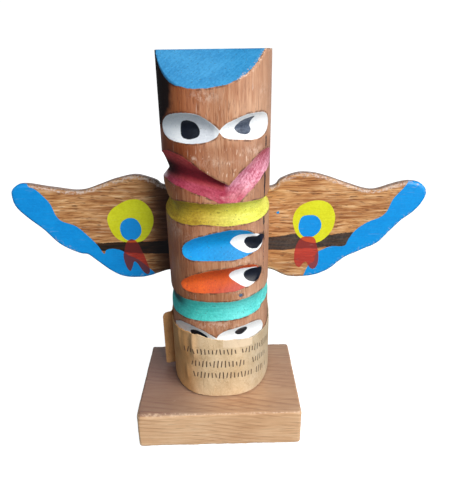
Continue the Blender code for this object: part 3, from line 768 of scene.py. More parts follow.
def make_paper(material):
    """The kraft strip: its path in plan carried up between a torn upper edge and its lower edge, as
    a closed skin of two faces, one loop up the outside and down the inside at each place."""
    path, even = even_path(paper_path())
    along = np.gradient(path, axis=0)
    along /= np.linalg.norm(along, axis=1)[:, None]
    outward = np.stack([along[:, 1], -along[:, 0]], axis=1)
    front = np.argmin(np.abs(path[:, 0]) + (path[:, 1] > -0.02) * 1.0)
    run = even - even[front]
    across = run / pole_section(BAND_SECTION)[2]
    top, bottom = strip_edges(run, across, even[-1] - even)
    share = np.linspace(0.0, 1.0, BAND_ROWS)
    height = bottom[None, :] + (top - bottom)[None, :] * share[:, None]
    push = pucker_rise(run, across, height)[..., None] * MM
    skins = []
    for side in (1, -1):
        plan = path[None] + outward[None] * (side * PAPER_THICKNESS / 2 + push)
        skins.append(np.dstack([plan[..., 0] + POLE_LEAN * height, plan[..., 1], height]))
    rings = np.concatenate([skins[0], skins[1][::-1]], axis=0).transpose(1, 0, 2)
    columns = rings.shape[1]
    points = rings.reshape(-1, 3) + (POLE_SIDE_OFFSET, POLE_BACK, POLE_FOOT)
    faces = [quad[::-1] for quad in loft_faces(len(rings), columns)]
    first = np.arange(columns)
    for ends, flip in ((first, False), (first + (len(rings) - 1) * columns, True)):
        for k in range(BAND_ROWS - 1):
            quad = [int(ends[k]), int(ends[k + 1]), int(ends[-2 - k]), int(ends[-1 - k])]
            faces.append(quad[::-1] if flip else quad)
    marks = {"along": np.repeat(run[:, None] / MM, columns, axis=1),
             "up": np.concatenate([height, height[::-1]], axis=0).T / MM,
             "outside": np.repeat([np.arange(columns) < BAND_ROWS], len(rings), axis=0)}
    make_piece("kraft_strip", points, faces, "paper_band", material, marks, 60)


# The block
def edge_spacing(half, pitch):
    """Places from -half to half, close together in the last few millimetres at both ends."""
    inside = half - EDGE_ZONE
    middle = np.linspace(-inside, inside, max(3, int((2 * half - 2 * EDGE_ZONE) / pitch)))
    return np.concatenate([-half + EDGE_STEPS, middle, (half - EDGE_STEPS)[::-1]])


def block_wear(points):
    """The edge radius at each place: a little everywhere, more along the left of the front edge."""
    x, y, z = points.T
    uneven = 0.25 * ripple(x + 0.7 * y, 0.021, 1) + 0.15 * ripple(x - y + z, 0.006, 8)
    front = smooth_step(-y, 0.018, 0.027) * smooth_step(z, 0.009, 0.019)
    return BLOCK_EDGE_WEAR * (1.0 + uneven) + 0.0011 * front * smooth_step(-x, 0.002, 0.030)


def make_block(material):
    """The block: points on a plain box, drawn back to a ball of the wear radius round the nearest
    point of the box's core, so that edges and corners are rounded."""
    half = BASE_SIZE / 2
    xs = edge_spacing(half[0], BLOCK_PITCH)
    ys = edge_spacing(half[1], BLOCK_PITCH)
    zs = edge_spacing(half[2], BLOCK_PITCH_UP)
    loop = np.concatenate([
        np.stack([ys, np.full(len(ys), -half[2])], axis=1)[:-1],
        np.stack([np.full(len(zs), half[1]), zs], axis=1)[:-1],
        np.stack([ys[::-1], np.full(len(ys), half[2])], axis=1)[:-1],
        np.stack([np.full(len(zs), -half[1]), zs[::-1]], axis=1)[:-1]])
    # at each end the loop closes in on the middle
    shrink = np.concatenate([[0.97, 0.94, 0.91, 0.88, 0.84], np.linspace(0.78, 0.08, 14)])
    x = np.concatenate([np.full(len(shrink), -half[0]), xs, np.full(len(shrink), half[0])])
    size = np.concatenate([shrink[::-1], np.ones(len(xs)), shrink])
    rings = np.dstack([np.broadcast_to(x[:, None], (len(x), len(loop))),
                       size[:, None] * loop[None, :, 0], size[:, None] * loop[None, :, 1]])
    rows, columns = rings.shape[:2]
    square = np.concatenate([rings.reshape(-1, 3), [(-half[0], 0, 0), (half[0], 0, 0)]])
    radius = block_wear(square + (0, 0, half[2]))[:, None]
    core = np.clip(square, -half + radius, half - radius)
    away = square - core
    points = core + away * radius / np.maximum(np.linalg.norm(away, axis=1)[:, None], 1e-9)
    points[:, 2] += half[2]
    moved = np.linalg.norm(points - (0, 0, half[2]) - square, axis=1)
    count = rows * columns
    faces = loft_faces(rows, columns)
    faces += fan_faces(np.arange(columns), count, flip=True)
    faces += fan_faces(np.arange(count - columns, count), count + 1)
    make_piece("worn_block", points, faces, "base_block", material,
               {"edge": moved / MM}, 50)


# Materials
def screen(red, green, blue):
    """A colour given as it shows on a screen, 0 to 255, as the shader's own linear numbers."""
    share = np.array((red, green, blue)) / 255.0
    linear = np.where(share <= 0.04045, share / 12.92, ((share + 0.055) / 1.055) ** 2.4)
    return (*[float(v) for v in linear], 1.0)


def shades(light, dark):
    """A paint's light and dark tone, both given as they show on a screen."""
    return screen(*light), screen(*dark)


class Bench:
    """One node tree, with short calls that add a node, feed it and hand back an output."""

    def __init__(self, tree):
        self.tree = tree

    def feed(self, socket, value):
        if isinstance(value, bpy.types.NodeSocket):
            self.tree.links.new(value, socket)
        else:
            socket.default_value = value

    def put(self, kind, inputs, out=0, **settings):
        item = self.tree.nodes.new(kind)
        for key, value in settings.items():
            setattr(item, key, value)
        for key, value in inputs.items():
            self.feed(item.inputs[key], value)
        return item.outputs[out]

    def do(self, operation, first, second=0.0):
        return self.put("ShaderNodeMath", {0: first, 1: second}, operation=operation)

    def sum(self, value, *others):
        for other in others:
            value = self.do("ADD", value, other)
        return value

    def times(self, value, *others):
        for other in others:
            value = self.do("MULTIPLY", value, other)
        return value

    def less(self, first, second):
        return self.do("SUBTRACT", first, second)

    def size(self, value):
        return self.do("ABSOLUTE", value)

    def soft(self, value, low, high, start=0.0, end=1.0):
        """A smooth rise from start to end while the value goes from low to high."""
        return self.put("ShaderNodeMapRange",
                        {"Value": value, "From Min": low, "From Max": high, "To Min": start,
                         "To Max": end}, interpolation_type="SMOOTHSTEP")

    def window(self, value, start, full, fading, gone):
        """1 from full to fading, with a smooth rise before and a smooth fall after."""
        return self.times(self.soft(value, start, full), self.soft(value, gone, fading))

    def blend(self, share, first, second, kind="MIX"):
        return self.put("ShaderNodeMix", {0: share, 6: first, 7: second}, out=2,
                        data_type="RGBA", blend_type=kind)

    def both(self, share, first, second):
        """A pair of shades, each blended towards its partner in the second pair."""
        return [self.blend(share, *partners) for partners in zip(first, second)]

    def layered(self, colour, *layers):
        """The colour with each (mask, strength, screen colour) laid over it in turn. A fourth entry
        names another way to blend."""
        for mask, strength, tone, *kind in layers:
            colour = self.blend(self.times(mask, strength), colour, screen(*tone), *kind)
        return colour

    def mean(self, share, first, second):
        return self.put("ShaderNodeMix", {0: share, 2: first, 3: second}, data_type="FLOAT")

    def stretch(self, vector, factors):
        return self.put("ShaderNodeVectorMath", {0: vector, 1: factors}, operation="MULTIPLY")

    def turned(self, vector, y):
        """The vector turned about the Y axis, in degrees."""
        return self.put("ShaderNodeMapping", {"Vector": vector,
                                              "Rotation": (0.0, math.radians(y), 0.0)})

    def part(self, vector, axis):
        return self.put("ShaderNodeSeparateXYZ", {0: vector}, out=axis)

    def noise(self, vector, scale, detail=2.0, roughness=0.5, distortion=0.0):
        return self.put("ShaderNodeTexNoise", {"Vector": vector, "Scale": scale, "Detail": detail,
                                               "Roughness": roughness, "Distortion": distortion})

    def sway(self, vector, scale, detail, amount, roughness=0.5):
        """Noise about nought: (noise - 1/2) * amount."""
        return self.times(self.less(self.noise(vector, scale, detail, roughness), 0.5), amount)

    def mark(self, label):
        """A number stored on the mesh, one for each point."""
        return self.put("ShaderNodeAttribute", {}, out="Fac", attribute_name=label,
                        attribute_type="GEOMETRY")

    def place(self):
        return self.put("ShaderNodeTexCoord", {}, out="Object")

    def facing(self, axis):
        """How far the surface faces along an axis, from -1 to 1."""
        return self.part(self.put("ShaderNodeNewGeometry", {}, out="Normal"), axis)

    def tones(self, share, *stops):
        """A colour ramp from (share, screen colour) pairs."""
        item = self.tree.nodes.new("ShaderNodeValToRGB")
        while len(item.color_ramp.elements) < len(stops):
            item.color_ramp.elements.new(1.0)
        for element, (position, tone) in zip(item.color_ramp.elements, stops):
            element.position = position
            element.color = screen(*tone)
        self.feed(item.inputs[0], share)
        return item.outputs[0]

    def use(self, group, inputs):
        item = self.tree.nodes.new("ShaderNodeGroup")
        item.node_tree = bpy.data.node_groups[group]
        for key, value in inputs.items():
            self.feed(item.inputs[key], value)
        return item.outputs


def new_group(name, numbers, outputs):
    """An empty node group with a vector, its named numbers and its outputs: returns its bench, its
    inputs and its outputs."""
    tree = bpy.data.node_groups.new(name, "ShaderNodeTree")
    tree.interface.new_socket(name="Vector", in_out="INPUT", socket_type="NodeSocketVector")
    for label, value in numbers.items():
        socket = tree.interface.new_socket(name=label, in_out="INPUT", socket_type="NodeSocketFloat")
        socket.default_value = value
    for label in outputs:
        tree.interface.new_socket(name=label, in_out="OUTPUT", socket_type="NodeSocketFloat")
    entry = tree.nodes.new("NodeGroupInput")
    leave = tree.nodes.new("NodeGroupOutput")
    return Bench(tree), entry.outputs, leave.inputs


def wood_grain_group():
    """Wood whose fibres run along the vector's Z: fibres, broad dark streaks, pores and tone."""
    b, given, result = new_group("wood grain",
                                 {"Fineness": 900.0, "Waviness": 0.002, "Shortness": 1.0},
                                 ("Fibre", "Streak", "Pore", "Tone"))
    sway = b.sway(b.stretch(given["Vector"], (60.0, 60.0, 22.0)), 1.0, 2.0, given["Waviness"])
    bent = b.put("ShaderNodeVectorMath", {0: given["Vector"], 1: b.put(
        "ShaderNodeCombineXYZ", {0: sway, 1: sway})}, operation="ADD")
    fine = b.put("ShaderNodeVectorMath", {0: bent, "Scale": given["Fineness"]}, operation="SCALE")
    fine = b.stretch(fine, b.put("ShaderNodeCombineXYZ", {0: 1.0, 1: 1.0, 2: given["Shortness"]}))
    streak = b.noise(b.stretch(fine, (0.33, 0.33, 0.016)), 1.0, 3.0, 0.6)
    pore = b.noise(b.stretch(fine, (1.7, 1.7, 0.11)), 1.0, 1.0)
    b.feed(result["Fibre"], b.noise(b.stretch(fine, (1.0, 1.0, 0.035)), 1.0, 4.0, 0.65))
    b.feed(result["Streak"], b.soft(streak, 0.42, 0.66))
    b.feed(result["Pore"], b.soft(pore, 0.60, 0.70))
    b.feed(result["Tone"], b.noise(given["Vector"], 38.0, 3.0))


def paint_edge_group():
    """Paint inside an outline: where it covers, and how thick it lies there."""
    b, given, result = new_group("paint edge", {"Distance": 0.0, "Ragged": 0.3, "Chips": 0.0},
                                 ("Cover", "Body"))
    wobble = b.sum(b.sway(given["Vector"], 900.0, 3.0, 1.0, 0.6),
                   b.sway(given["Vector"], 260.0, 1.0, 0.8))
    shifted = b.sum(given["Distance"], b.times(wobble, given["Ragged"]))
    chip = b.soft(b.sum(b.noise(given["Vector"], 1500.0, 2.0), given["Chips"]), 0.78, 0.82)
    cover = b.times(b.soft(shifted, -0.07, 0.07), b.less(1.0, chip))
    ridge = b.times(b.soft(shifted, 0.9, 0.1), 0.18)
    b.feed(result["Cover"], cover)
    b.feed(result["Body"], b.times(cover, b.sum(ridge, 1.0)))


def brushed_coat_group():
    """A brushed coat: streaks along the stroke, grain, small pits and a light and dark variation."""
    b, given, result = new_group("brushed coat", {"Pits": 0.5}, ("Shade", "Pit", "Relief"))
    stroke = b.noise(b.stretch(given["Vector"], (160.0, 160.0, 1500.0)), 1.0, 3.0, 0.6)
    cloud = b.noise(given["Vector"], 120.0, 3.0)
    grain = b.noise(given["Vector"], 1100.0, 2.0)
    pit = b.times(b.soft(b.noise(given["Vector"], 1500.0, 2.0), 0.63, 0.71), given["Pits"])
    b.feed(result["Shade"], b.sum(b.times(stroke, 0.35), b.times(cloud, 0.30), b.times(grain, 0.35)))
    b.feed(result["Pit"], pit)
    b.feed(result["Relief"], b.less(b.sum(b.times(stroke, 0.4), b.times(grain, 0.6)), pit))


def scuffs_group():
    """Pale rubbed places and hair scratches."""
    b, given, result = new_group("scuffs", {"Amount": 0.5}, ("Rub", "Scratch"))
    patch = b.soft(b.noise(given["Vector"], 95.0, 3.0, 0.6), 0.60, 0.74)
    fleck = b.soft(b.noise(given["Vector"], 1300.0, 3.0, 0.7), 0.48, 0.66)
    line = b.noise(b.stretch(given["Vector"], (1800.0, 1800.0, 130.0)), 1.0, 1.0, 0.5, 0.6)
    region = b.soft(b.noise(given["Vector"], 70.0, 1.0), 0.44, 0.60)
    b.feed(result["Rub"], b.times(patch, fleck, given["Amount"]))
    b.feed(result["Scratch"], b.times(b.soft(line, 0.69, 0.74), region, given["Amount"]))


def new_material(name, roughness):
    """A material with its shader: returns it, its bench and the shader's inputs."""
    material = bpy.data.materials.new(name)
    material.use_nodes = True
    shader = material.node_tree.nodes["Principled BSDF"]
    shader.inputs["Roughness"].default_value = roughness
    return material, Bench(material.node_tree), shader.inputs


def finish(b, shader, colour, rough, height):
    """Feeds the shader its colour, its roughness and a relief given in millimetres."""
    b.feed(shader["Base Color"], colour)
    b.feed(shader["Roughness"], rough)
    b.feed(shader["Normal"], b.put("ShaderNodeBump", {"Height": height, "Distance": MM,
                                                      "Strength": 1.0}))


PIT_COLOUR = screen(48, 44, 40)
# How far apart the block's growth rings lie, in metres
RING_PITCH = 0.0017


class Coats:
    """The finish built up from bare wood by one coat of paint after another."""

    def __init__(self, b, vector, colour, rough, height):
        self.b = b
        self.vector = vector
        self.colour = colour
        self.rough = rough
        self.height = height

    def paint(self, label, tones, rough, ragged=0.3, chips=0.0, pits=0.5, thick=0.05, opacity=1.0,
              strokes=None, lumps=0.05):
        """One coat inside the outline of a mark, in a light and a dark shade."""
        b = self.b
        edge = b.use("paint edge", {"Distance": b.mark(label), "Vector": self.vector,
                                    "Ragged": ragged, "Chips": chips})
        coat = b.use("brushed coat", {"Vector": strokes or self.vector, "Pits": pits})
        light, dark = tones
        tint = b.blend(b.soft(coat["Shade"], 0.35, 0.65), dark, light)
        tint = b.blend(b.times(coat["Pit"], 0.75), tint, PIT_COLOUR)
        self.colour = b.blend(b.times(edge["Cover"], opacity), self.colour, tint)
        self.rough = b.mean(edge["Cover"], self.rough, rough)
        level = b.times(self.height, b.less(1.0, b.times(edge["Cover"], 0.75)))
        relief = b.times(coat["Relief"], edge["Cover"], lumps)
        self.height = b.sum(level, relief, b.times(edge["Body"], thick))


def bare_pole(b, spot, side, level):
    """The pole's bare wood with its wear, its crack, a near-black patch on the upper left flank,
    painted shade on its left and along its cut edges and a painted sheen on its right: its colour,
    roughness and relief.
    """
    wood = b.use("wood grain", {"Vector": spot, "Fineness": 1500.0, "Waviness": 0.0020,
                                "Shortness": 1.9})
    shade = b.sum(b.times(wood["Fibre"], 0.45), b.times(wood["Tone"], 0.55))
    colour = b.tones(shade, (0.34, (146, 86, 54)), (0.48, (186, 128, 92)), (0.62, (216, 168, 134)))
    # painted shade: the pole's left side darker and browner, most towards the top
    painted_left_shade = b.times(b.soft(side, 0.004, -0.013), b.soft(level, 0.110, 0.135, 0.5, 1.0))
    cheeks = b.window(level, 0.118, 0.124, 0.137, 0.141)
    # painted sheen: the right side of the pole a little paler
    painted_right_sheen = b.soft(side, 0.006, 0.018, 0.0, 0.17)
    scuff = b.use("scuffs", {"Vector": spot, "Amount": 0.8})
    nicks = b.soft(b.noise(b.stretch(spot, (1000.0, 1000.0, 330.0)), 1.0, 1.0), 0.64, 0.69)
    nicks = b.times(nicks, b.window(level, 0.121, 0.126, 0.134, 0.140),
                    b.soft(b.size(b.less(side, 0.004)), 0.017, 0.010),
                    b.soft(b.part(spot, "Y"), 0.010, 0.0))
    patchy = b.noise(b.turned(b.stretch(spot, (1.0, 1.0, 0.6)), 24.0), 620.0, 4.0, 0.75)
    rubbed = b.times(b.do("MINIMUM", b.mark("worn"), 1.0), b.soft(patchy, 0.42, 0.62))
    # the upper left flank laid near-black inside its outline
    dark_flank = b.soft(b.sum(b.mark("dark_flank"), b.sway(spot, 300.0, 3.0, 3.0)), -2.4, 1.6)
    offset = b.size(b.sum(b.mark("crack"), b.sway(spot, 420.0, 3.0, 1.6)))
    width = b.sum(b.mark("crack width"), b.sway(spot, 1100.0, 2.0, 1.1))
    crack = b.soft(b.less(width, offset), -0.10, 0.12)
    nearest = b.mark("white")
    for label in ("black", "blue", "orange", "yellow", "teal", "maroon"):
        nearest = b.do("MAXIMUM", nearest, b.mark(label))
    broken = b.soft(b.noise(spot, 330.0, 3.0, 0.7), 0.44, 0.58)
    # painted shadow: a broken dark line on the wood just outside each painted, cut edge
    painted_edge_shadow = b.times(b.soft(nearest, -0.9, -0.35), broken)
    colour = b.layered(colour,
                       (wood["Streak"], 0.26, (136, 78, 48)),
                       (wood["Pore"], 0.40, (104, 58, 38)),
                       (painted_left_shade, 1.0, (226, 172, 132), "MULTIPLY"),
                       (cheeks, 1.0, (228, 214, 206), "MULTIPLY"),
                       (painted_right_sheen, 1.0, (242, 208, 184)),
                       (scuff["Rub"], 0.55, (226, 192, 168)),
                       (scuff["Scratch"], 0.75, (236, 212, 196)),
                       (nicks, 0.60, (238, 208, 186)),
                       (rubbed, 0.72, (234, 202, 180)),
                       (dark_flank, 0.97, (16, 8, 10)),
                       (crack, 0.92, (34, 32, 46)),
                       (painted_edge_shadow, 0.68, (66, 42, 34)))
    rough = b.mean(dark_flank, b.sum(b.times(wood["Fibre"], 0.25), 0.36), 0.90)
    height = b.less(b.times(wood["Fibre"], 0.10), b.times(wood["Pore"], 0.06))
    return colour, rough, b.less(height, b.times(crack, 0.15))


def maroon_coat(coats, side, level):
    """The V's paint: painted shade and some dark dirt in the left cut's hollow, redder on its steep
    face, a painted highlight along the right arm, with the brush following each arm."""
    b = coats.b
    right_arm = b.soft(side, 0.0045, 0.0065)
    arm = b.put("ShaderNodeMix", {0: right_arm, 4: b.turned(coats.vector, -26.0),
                                  5: b.turned(coats.vector, 52.0)}, out=1, data_type="VECTOR")
    over = b.mark("upper facet")
    facet = b.soft(over, -3.0, 0.0)
    # painted highlight: a pale band along the middle of the right arm
    pale = b.soft(b.size(b.less(level, 0.1268)), 0.0095, 0.002)
    maroon = b.both(pale, shades((210, 100, 120), (152, 44, 60)),
                    shades((248, 184, 204), (180, 80, 104)))
    maroon = b.both(right_arm, shades((190, 76, 98), (150, 38, 60)), maroon)
    maroon = b.both(facet, maroon, shades((246, 104, 100), (214, 78, 78)))
    # painted shade with some dark dirt: the maroon near black in the left cut's hollow, darkest to the
    # left
    depth = b.both(b.soft(side, -0.0105, -0.0180), shades((140, 30, 44), (112, 20, 32)),
                   shades((64, 10, 20), (48, 8, 14)))
    maroon = b.both(b.window(over, -3.4, -0.3, 2.4, 7.6), maroon, depth)
    coats.paint("maroon", maroon, b.mean(facet, 0.32, 0.90), 0.5, strokes=arm, lumps=0.08)


def pole_material():
    """Red-brown wood with upright grain, painted in seven colours."""
    material, b, shader = new_material("carved and painted wood", 0.5)
    shader["Specular IOR Level"].default_value = 0.36
    spot = b.place()
    side = b.part(spot, "X")
    level = b.part(spot, "Z")
    coats = Coats(b, spot, *bare_pole(b, spot, side, level))
    # painted light: orange and blue lighter towards the left, where the pole turns from the lamps
    painted_left_light = b.soft(side, 0.004, -0.013)

    pinker = b.soft(b.less(b.times(side, 0.5), level), -0.078, -0.072)
    orange = b.both(painted_left_light, shades((216, 92, 34), (196, 76, 40)),
                    shades((252, 114, 40), (228, 92, 42)))
    orange = b.both(pinker, orange, shades((206, 94, 76), (186, 76, 64)))
    coats.paint("orange", orange, 0.60, 0.5, 0.02, strokes=b.turned(spot, 80.0), lumps=0.12)

    dot = b.soft(level, 0.084, 0.080)
    blue = b.both(painted_left_light, shades((10, 156, 222), (4, 138, 206)),
                  shades((36, 186, 255), (24, 164, 246)))
    blue = b.both(dot, blue, shades((92, 118, 150), (62, 82, 112)))
    # painted sheen: the blue of the sloping top paler, most on its left
    painted_crown_sheen = b.both(b.soft(side, 0.0, 0.012), shades((78, 168, 222), (52, 140, 198)),
                   shades((62, 158, 213), (36, 130, 189)))
    blue = b.both(b.soft(level, 0.152, 0.156), blue, painted_crown_sheen)
    coats.paint("blue", blue, 0.56, 0.35, 0.03, 0.6, strokes=b.turned(spot, 38.0), lumps=0.11)

    maroon_coat(coats, side, level)

    # painted shade: the yellow darker and more olive towards the left
    yellow = b.both(b.soft(side, -0.010, 0.018), shades((203, 172, 52), (158, 122, 30)),
                    shades((242, 247, 116), (218, 216, 80)))
    coats.paint("yellow", yellow, 0.50, 0.6, 0.03, 0.8, lumps=0.16)

    # painted shade: the teal darker towards the left, and a painted shadow in the ring's upper left
    # corner
    corner = b.times(b.soft(side, -0.0125, -0.0185), b.soft(level, 0.0640, 0.0675))
    teal = b.both(b.soft(side, -0.012, 0.014), shades((86, 217, 206), (56, 186, 176)),
                  shades((116, 231, 226), (82, 202, 198)))
    teal = b.both(corner, teal, shades((26, 88, 88), (12, 50, 52)))
    coats.paint("teal", teal, 0.50, 0.5, 0.03, 0.7, lumps=0.15)

    # painted shade: the upper left eye's white greyer
    painted_eye_shade = b.times(b.window(side, -0.012, -0.004, 0.0005, 0.0020), b.soft(level, 0.120, 0.125))
    white = b.both(painted_eye_shade, shades((252, 254, 255), (240, 244, 248)),
                   shades((230, 233, 238), (212, 216, 222)))
    coats.paint("white", white, 0.46, pits=0.22)

    # painted reflection: the upper right pupil lighter and bluish
    painted_pupil_sheen = b.times(b.soft(side, 0.004, 0.008), b.soft(level, 0.136, 0.139))
    black = b.both(painted_pupil_sheen, shades((24, 30, 44), (12, 14, 24)), shades((104, 114, 132), (58, 66, 82)))
    coats.paint("black", black, 0.34, pits=0.2)

    chipped = b.times(b.soft(b.mark("rim"), 4.3, 5.7),
                      b.soft(b.noise(spot, 760.0, 4.0, 0.7), 0.50, 0.60))
    colour = b.layered(coats.colour, (chipped, 0.85, (232, 198, 172)))
    finish(b, shader, colour, coats.rough, coats.height)
    return material


def wing_material():
    """Golden oak with strong level grain, sanded pale at its edges, with the wings' paint, painted
    shadow and dark staining beside the pole on the left and a painted sheen on the right wing's black.
    """
    material, b, shader = new_material("painted oak", 0.5)
    shader["Specular IOR Level"].default_value = 0.36
    spot = b.place()
    side = b.part(spot, "X")
    along = b.turned(spot, 90.0)
    wood = b.use("wood grain", {"Vector": along, "Fineness": 1050.0, "Waviness": 0.005,
                                "Shortness": 2.0})
    shade = b.sum(b.times(wood["Fibre"], 0.85), b.times(wood["Tone"], 0.15))
    colour = b.tones(shade, (0.34, (126, 72, 38)), (0.45, (188, 130, 78)), (0.56, (218, 166, 112)),
                     (0.68, (246, 212, 168)))
    # painted shadow of the pole and dark staining: the left wing's front darker beside the pole
    behind = b.times(b.window(side, -0.038, -0.024, -0.01, 0.0), b.soft(b.facing("Y"), 0.2, -0.2))
    scuff = b.use("scuffs", {"Vector": along, "Amount": 0.7})
    rim = b.sum(b.mark("rim"), b.sway(spot, 420.0, 3.0, 2.6, 0.65))
    worn = b.times(b.soft(rim, 2.1, 0.9), b.soft(b.noise(spot, 900.0, 3.0, 0.7), 0.38, 0.62),
                   b.sum(b.times(b.mark("upper edge"), 0.55), 0.35))
    colour = b.layered(colour,
                       (wood["Streak"], 0.55, (146, 84, 44)),
                       (wood["Pore"], 0.6, (88, 46, 26)),
                       (behind, 0.9, (112, 74, 54), "MULTIPLY"),
                       (worn, 1.0, (214, 196, 184)),
                       (b.soft(b.mark("rim"), 0.55, 0.1), 0.55, (96, 64, 52)),
                       (behind, 0.6, (116, 84, 68), "MULTIPLY"))
    height = b.less(b.times(wood["Fibre"], 0.14), b.times(wood["Pore"], 0.10))
    coats = Coats(b, spot, colour, b.sum(b.times(wood["Fibre"], 0.2), 0.42), height)

    right = b.soft(side, -0.004, 0.004)
    # painted sheen and shade: the black stripe lighter on the right wing, darker on the left
    black = b.both(right, shades((24, 20, 20), (12, 9, 10)), shades((76, 69, 66), (42, 36, 35)))
    thin = b.soft(wood["Fibre"], 0.30, 0.60, 0.86, 0.99)
    coats.paint("black", black, 0.45, 0.7, 0.0, 0.3, thick=0.02, opacity=thin)
    coats.paint("blue", shades((14, 156, 236), (8, 142, 223)), 0.42, 0.15, -0.03, 0.12)
    coats.paint("yellow", shades((230, 233, 44), (218, 218, 30)), 0.44, 0.2, -0.05, 0.1)
    coats.paint("disc middle", shades((22, 157, 240), (14, 143, 229)), 0.42, 0.15, -0.05, 0.1)

    # the thin red lets what lies under it show through
    veil = b.use("paint edge", {"Distance": b.mark("red"), "Vector": spot, "Ragged": 0.3,
                                "Chips": -0.1})
    tinted = b.blend(1.0, coats.colour, screen(232, 96, 80), "MULTIPLY")
    body = b.blend(b.mean(right, 0.26, 0.42), tinted, screen(204, 84, 80))
    colour = b.blend(veil["Cover"], coats.colour, body)
    rough = b.mean(veil["Cover"], coats.rough, 0.35)
    height = b.sum(coats.height, b.times(veil["Body"], 0.05))

    rubbed = b.times(b.soft(rim, 3.0, 0.4), b.soft(b.noise(spot, 620.0, 4.0, 0.75), 0.53, 0.60),
                     b.soft(b.noise(spot, 55.0, 1.0), 0.47, 0.58))
    colour = b.layered(colour, (rubbed, 0.6, (200, 190, 186)),
                       (scuff["Scratch"], 0.2, (226, 206, 190)))
    finish(b, shader, colour, rough, height)
    return material


def mark_row(b, along, up, row, seed):
    """One row of short upright and slanting dashes: a dash stands in each cell along the row, its
    slant, length and presence chosen by the cell's own number."""
    level, slope, droop, first, last = row
    middle = b.sum(b.times(along, slope), level, b.times(along, along, droop))
    place = b.times(b.less(along, first), 1.0 / MARK_PITCH)
    cell = b.do("FLOOR", place)
    picks = [b.put("ShaderNodeTexWhiteNoise", {"W": b.sum(cell, seed + 31.7 * k)},
                   noise_dimensions="1D") for k in range(3)]
    offset = b.times(b.less(up, middle), 2.0 / MARK_HEIGHT)
    lean = b.times(offset, b.times(b.less(picks[0], 0.5), 0.5))
    stroke = b.soft(b.size(b.less(b.sum(b.do("FRACT", place), lean), 0.5)), 0.185, 0.125)
    tall = b.sum(b.times(picks[1], 0.45), 0.55)
    ends = b.soft(b.less(b.size(offset), tall), 0.06, -0.06)
    inside = b.window(along, first - 0.1, first + 0.1, last - 0.1, last + 0.1)
    return b.times(stroke, ends, inside, b.soft(picks[2], 0.10, 0.12))


def paper_material():
    """Brown kraft paper with fibres, faint creases with painted shade along them, painted shade on its
    left and three rows of printed marks.
    """
    material, b, shader = new_material("kraft paper", 0.78)
    spot = b.place()
    side = b.part(spot, "X")
    along = b.mark("along")
    up = b.mark("up")
    fibre = b.noise(spot, 1500.0, 4.0, 0.7)
    cloud = b.noise(spot, 110.0, 3.0, 0.6)
    shade = b.sum(b.times(fibre, 0.45), b.times(cloud, 0.55))
    colour = b.tones(shade, (0.32, (203, 168, 126)), (0.5, (225, 195, 154)), (0.68, (238, 212, 176)))
    # painted shade: the paper darker and more orange towards the left, the loose end less so
    loose = b.soft(side, -0.0245, -0.0262)
    painted_paper_shade = b.blend(loose, screen(237, 202, 162), screen(248, 214, 178))
    colour = b.blend(b.soft(side, -0.006, -0.016), colour, painted_paper_shade, "MULTIPLY")
    # faint creases, dented in the relief and darkened in colour as painted shade
    crease_and_shade = b.soft(b.size(b.sway(b.stretch(spot, (1.0, 1.0, 0.4)), 190.0, 2.0, 1.0)), 0.016, 0.0)
    patch = b.times(b.soft(b.size(b.less(along, 8.4)), 7.4, 7.0),
                    b.soft(b.sum(up, b.times(along, 0.10)), 28.2, 28.8))
    ink = 0.0
    for k, row in enumerate(MARK_ROWS):
        ink = b.do("MAXIMUM", mark_row(b, along, up, row, 3.0 + 17.0 * k), ink)
    ink = b.times(ink, b.mark("outside"), b.soft(fibre, 0.25, 0.5, 0.75, 1.0))
    colour = b.layered(colour,
                       (b.soft(side, 0.008, 0.019), 1.0, (233, 243, 255), "MULTIPLY"),
                       (crease_and_shade, 0.22, (166, 122, 80)),
                       (patch, 0.55, (252, 228, 198)),
                       (ink, 1.0, (78, 58, 44)))
    finish(b, shader, colour, b.sum(b.times(fibre, 0.2), 0.62),
           b.sum(b.times(fibre, 0.03), b.times(crease_and_shade, -0.05)))
    return material


